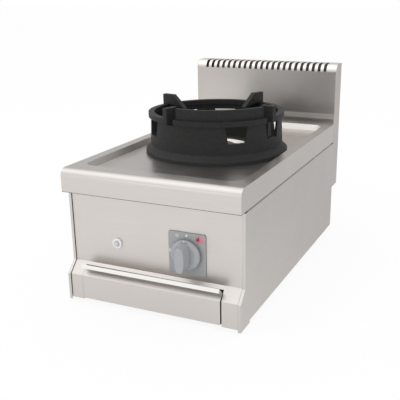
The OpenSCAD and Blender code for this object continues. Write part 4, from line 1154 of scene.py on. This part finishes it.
@dataclass
class BackScrews:
    """The pan-head screws on the flue's back and on the back panel, each with a cross recess.

    The recess has walls of wall_w and ends of end_w, and loses shoal_share of its depth on the way out.
    """

    side_x: float = 190.5
    flue_y: float = 360.8
    flue_z: Place = (149.0, 284.25, 419.5)
    panel_y: float = 313.8
    panel_z: float = 64.5
    columns: int = 64
    axis_r: float = 0.05
    shank_r: float = 2.0
    shank_len: float = 8.0
    head_r: float = 4.0
    head_h: float = 2.4
    rim_h: float = 0.9
    rim_share: float = 0.8
    shoulder_r: Span = (2.5, 2.4)
    dome_rows: tuple[int, int] = (9, 22)
    cross_w: float = 1.1
    cross_r: float = 2.3
    cross_depth: float = 1.3
    wall_w: float = 0.2
    end_w: float = 0.15
    shoal_share: float = 0.3
    crisp_deg: float = 34.0

    def build(self) -> list[bpy.types.Object]:
        """Makes all the screws as one piece that stands for the CAD node.

        Returns:
            That piece.
        """
        rows = np.array([[self.flue_y, z] for z in self.flue_z] + [[self.panel_y, self.panel_z]])
        places = np.concatenate([np.insert(rows, 0, x, 1) for x in (-self.side_x, self.side_x)])
        piece = grid_piece("back_screws_dressed", self.screw(), places)
        keep_crisp(piece, self.crisp_deg)
        paint(piece, ZINC_PLATE.material())
        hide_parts("back_screws")
        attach(piece, "body")
        return [piece]

    def screw(self) -> np.ndarray:
        """One screw about the Y axis: a plain shank, then a head with a domed top.

        The dome's height falls as a quarter ellipse from the middle to the rim. The recess takes its
        depth off where the nearer of the two cross axes is within half a bar's width and the radius is
        inside the cross, each with a short slope, and grows deeper towards the middle.

        Returns:
            Rows, columns and x, y, z in millimetres.
        """
        turn = round_angles(self.columns)[None, :]
        outer = np.linspace(self.head_r, self.shoulder_r[0], self.dome_rows[0])
        inner = np.linspace(self.shoulder_r[1], self.axis_r, self.dome_rows[1])
        dome_r = np.concatenate([outer, inner])[:, None]
        side = np.minimum(np.abs(dome_r * np.cos(turn)), np.abs(dome_r * np.sin(turn)))
        bar = np.clip(((self.cross_w + self.wall_w) / 2 - side) / self.wall_w, 0, 1)
        within = np.clip((self.cross_r - dome_r) / self.end_w, 0, 1)
        fall = np.sqrt(np.clip(1 - (dome_r / self.head_r) ** 2, 0, 1))
        dome = self.rim_h + (self.head_h - self.rim_h) * fall
        cut = self.cross_depth * bar * within * (1 - self.shoal_share * dome_r / self.cross_r)
        plain = np.ones((1, self.columns))
        lower_r = (self.axis_r, self.shank_r, self.shank_r, self.head_r, self.head_r)
        lower_h = (-self.shank_len, -self.shank_len, 0.0, 0.0, self.rim_h * self.rim_share)
        radius = np.concatenate([plain * r for r in lower_r] + [np.broadcast_to(dome_r, cut.shape)])
        height = np.concatenate([plain * h for h in lower_h] + [dome - cut])
        return np.stack([radius * np.cos(turn), height, radius * np.sin(turn)], -1)


# Staging


@dataclass(frozen=True)
class Lamp:
    """A square area lamp: its place and side in metres and its power in watts."""

    name: str
    place: Place
    side: float
    power: float


@dataclass
class Studio:
    """Floor, soft lights and camera of a plain product photograph.

    The room is what metal mirrors: a dim back, a bright front and a bright ceiling, each between two
    components of the ray's direction. The floor's sweep is what metal mirrors of it, from near to far,
    between two y in metres.
    """

    camera_mm: Place = (634.3, -1421.55, 644.6)
    azimuth: float = 24.31
    elevation: float = 18.21
    roll: float = -0.58
    lens: float = 60.13
    sensor: float = 36.0
    shift: Span = (-0.0398, 0.0163)
    aim: Place = (0.0, 0.0, 0.2)
    lamps: tuple[Lamp, ...] = (Lamp("key", (-1.1, -1.2, 2.5), 3.0, 11.0),
                               Lamp("overhead", (-0.5, 0.2, 2.6), 4.0, 14.0),
                               Lamp("low_front", (-1.4, -3.4, 0.35), 1.4, 3.0))
    dome: float = 1.0
    room_back: float = 0.6
    room_front: float = 1.03
    room_top: float = 0.98
    front_span: Span = (0.6, -0.2)
    top_span: Span = (0.4, 0.9)
    floor_mm: float = 40000.0
    floor_tone: float = 0.86
    floor_roughness: float = 0.9
    floor_white: float = 0.9
    floor_mirror: float = 0.7
    sweep: Span = (1.1, 0.62)
    sweep_span: Span = (-0.7, 0.5)

    def build(self) -> None:
        """Makes the camera, the lights, the world and the floor."""
        scene = bpy.context.scene
        scene.view_settings.view_transform = "Standard"
        self.make_camera(scene)
        for lamp in self.lamps:
            self.make_lamp(lamp)
        self.make_world(scene)
        self.make_floor()

    def make_camera(self, scene: bpy.types.Scene) -> None:
        """Places the camera by its azimuth, elevation and roll.

        Args:
            scene: the scene that it shows.
        """
        az, el, roll = (math.radians(v) for v in (self.azimuth, self.elevation, self.roll))
        back = Vector((math.sin(az) * math.cos(el), -math.cos(az) * math.cos(el), math.sin(el)))
        right = Vector((math.cos(az), math.sin(az), 0))
        up = back.cross(right)
        turned = math.cos(roll) * right + math.sin(roll) * up
        top = -math.sin(roll) * right + math.cos(roll) * up
        data = bpy.data.cameras.new("camera")
        data.lens = self.lens
        data.sensor_width = self.sensor
        data.shift_x, data.shift_y = self.shift
        camera = bpy.data.objects.new("camera", data)
        turn = Matrix((turned, top, back)).transposed().to_4x4()
        camera.matrix_world = Matrix.Translation(Vector(self.camera_mm) * MM) @ turn
        scene.collection.objects.link(camera)
        scene.camera = camera

    def make_lamp(self, lamp: Lamp) -> None:
        """Makes a lamp that is aimed at the object's middle.

        Args:
            lamp: its name, place, side and power.
        """
        data = bpy.data.lights.new(lamp.name, "AREA")
        data.size = lamp.side
        data.energy = lamp.power
        made = bpy.data.objects.new(lamp.name, data)
        made.location = lamp.place
        made.rotation_mode = "QUATERNION"
        made.rotation_quaternion = (Vector(self.aim) - Vector(lamp.place)).to_track_quat("-Z", "Y")
        bpy.context.scene.collection.objects.link(made)

    def make_world(self, scene: bpy.types.Scene) -> None:
        """An even white dome for light; the camera sees white, and metal a room with a dim back.

        Args:
            scene: the scene that it lights.
        """
        world = bpy.data.worlds.new("studio")
        scene.world = world
        world.use_nodes = True
        tree = world.node_tree
        background = tree.nodes["Background"]
        background.inputs["Color"].default_value = (1, 1, 1, 1)
        path = add_node(tree, "ShaderNodeLightPath")
        coords = add_node(tree, "ShaderNodeTexCoord")
        split = add_node(tree, "ShaderNodeSeparateXYZ", {"Vector": coords.outputs["Generated"]})
        front = add_node(tree, "ShaderNodeMapRange", {"Value": split.outputs["Y"]},
                         {"From Min": self.front_span[0], "From Max": self.front_span[1],
                          "To Min": self.room_back, "To Max": self.room_front})
        above = add_node(tree, "ShaderNodeMapRange", {"Value": split.outputs["Z"]},
                         {"From Min": self.top_span[0], "From Max": self.top_span[1],
                          "To Min": self.room_back, "To Max": self.room_top})
        room = add_node(tree, "ShaderNodeMath", {0: front.outputs["Result"], 1: above.outputs["Result"]},
                        operation="MAXIMUM")
        mirror = add_node(tree, "ShaderNodeMath",
                          {0: path.outputs["Is Glossy Ray"], 1: path.outputs["Is Transmission Ray"]},
                          operation="MAXIMUM")
        seen = add_node(tree, "ShaderNodeMapRange",
                        {"Value": mirror.outputs["Value"], "To Max": room.outputs["Value"]},
                        {"To Min": self.dome})
        add_node(tree, "ShaderNodeMapRange",
                 {"Value": path.outputs["Is Camera Ray"], "To Min": seen.outputs["Result"]},
                 {"To Max": 1.0}, background.inputs["Strength"])

    def make_floor(self) -> None:
        """A wide pale floor that keeps a soft shadow and otherwise shows white."""
        half = self.floor_mm / 2
        corners = np.array([[-half, -half, 0], [half, -half, 0], [half, half, 0], [-half, half, 0]]) * MM
        floor = mesh_piece("floor", corners, [[0, 1, 2, 3]])
        made = bpy.data.materials.new("pale_floor")
        made.use_nodes = True
        tree = made.node_tree
        shader = tree.nodes["Principled BSDF"]
        shader.inputs["Base Color"].default_value = (self.floor_tone, self.floor_tone, self.floor_tone, 1)
        shader.inputs["Roughness"].default_value = self.floor_roughness
        shader.inputs["Specular IOR Level"].default_value = 0.0
        path = add_node(tree, "ShaderNodeLightPath")
        mirror = add_node(tree, "ShaderNodeMath", {0: path.outputs["Is Glossy Ray"]},
                          {1: self.floor_mirror}, operation="MULTIPLY")
        clear = add_node(tree, "ShaderNodeMath",
                         {0: path.outputs["Is Camera Ray"], 1: path.outputs["Is Transmission Ray"]},
                         operation="MAXIMUM")
        white = add_node(tree, "ShaderNodeMath", {0: clear.outputs["Value"], 2: mirror.outputs["Value"]},
                         {1: self.floor_white}, operation="MULTIPLY_ADD")
        coords = add_node(tree, "ShaderNodeTexCoord")
        split = add_node(tree, "ShaderNodeSeparateXYZ", {"Vector": coords.outputs["Object"]})
        sweep = add_node(tree, "ShaderNodeMapRange", {"Value": split.outputs["Y"]},
                         {"From Min": self.sweep_span[0], "From Max": self.sweep_span[1],
                          "To Min": self.sweep[0], "To Max": self.sweep[1]})
        level = add_node(tree, "ShaderNodeMapRange",
                         {"Value": clear.outputs["Value"], "To Min": sweep.outputs["Result"]},
                         {"To Max": 1.0})
        glow = add_node(tree, "ShaderNodeEmission", {"Strength": level.outputs["Result"]},
                        {"Color": (1, 1, 1, 1)})
        add_node(tree, "ShaderNodeMixShader",
                 {0: white.outputs["Value"], 1: shader.outputs["BSDF"], 2: glow.outputs["Emission"]},
                 feeds=tree.nodes["Material Output"].inputs["Surface"])
        paint(floor, made)


def dress_cad_nodes() -> None:
    """Gives every CAD node the finish of its slot."""
    for node, piece in frame["nodes"].items():
        paint(piece, SLOT_FINISH[slot_of(node)].material())


def main() -> None:
    """Builds the looks in order."""
    logging.basicConfig(level=logging.INFO, format="%(name)s: %(message)s")
    dress_cad_nodes()
    parts = (Cabinet(), Worktop(), DripTray(), WokRing(), Knob(), ControlPanel(), GasInlet(), BackScrews())
    for part in parts:
        for piece in part.build():
            LOG.info("%s: %s", type(part).__name__, piece.name)
    Studio().build()


if __name__ == "__main__":
    main()
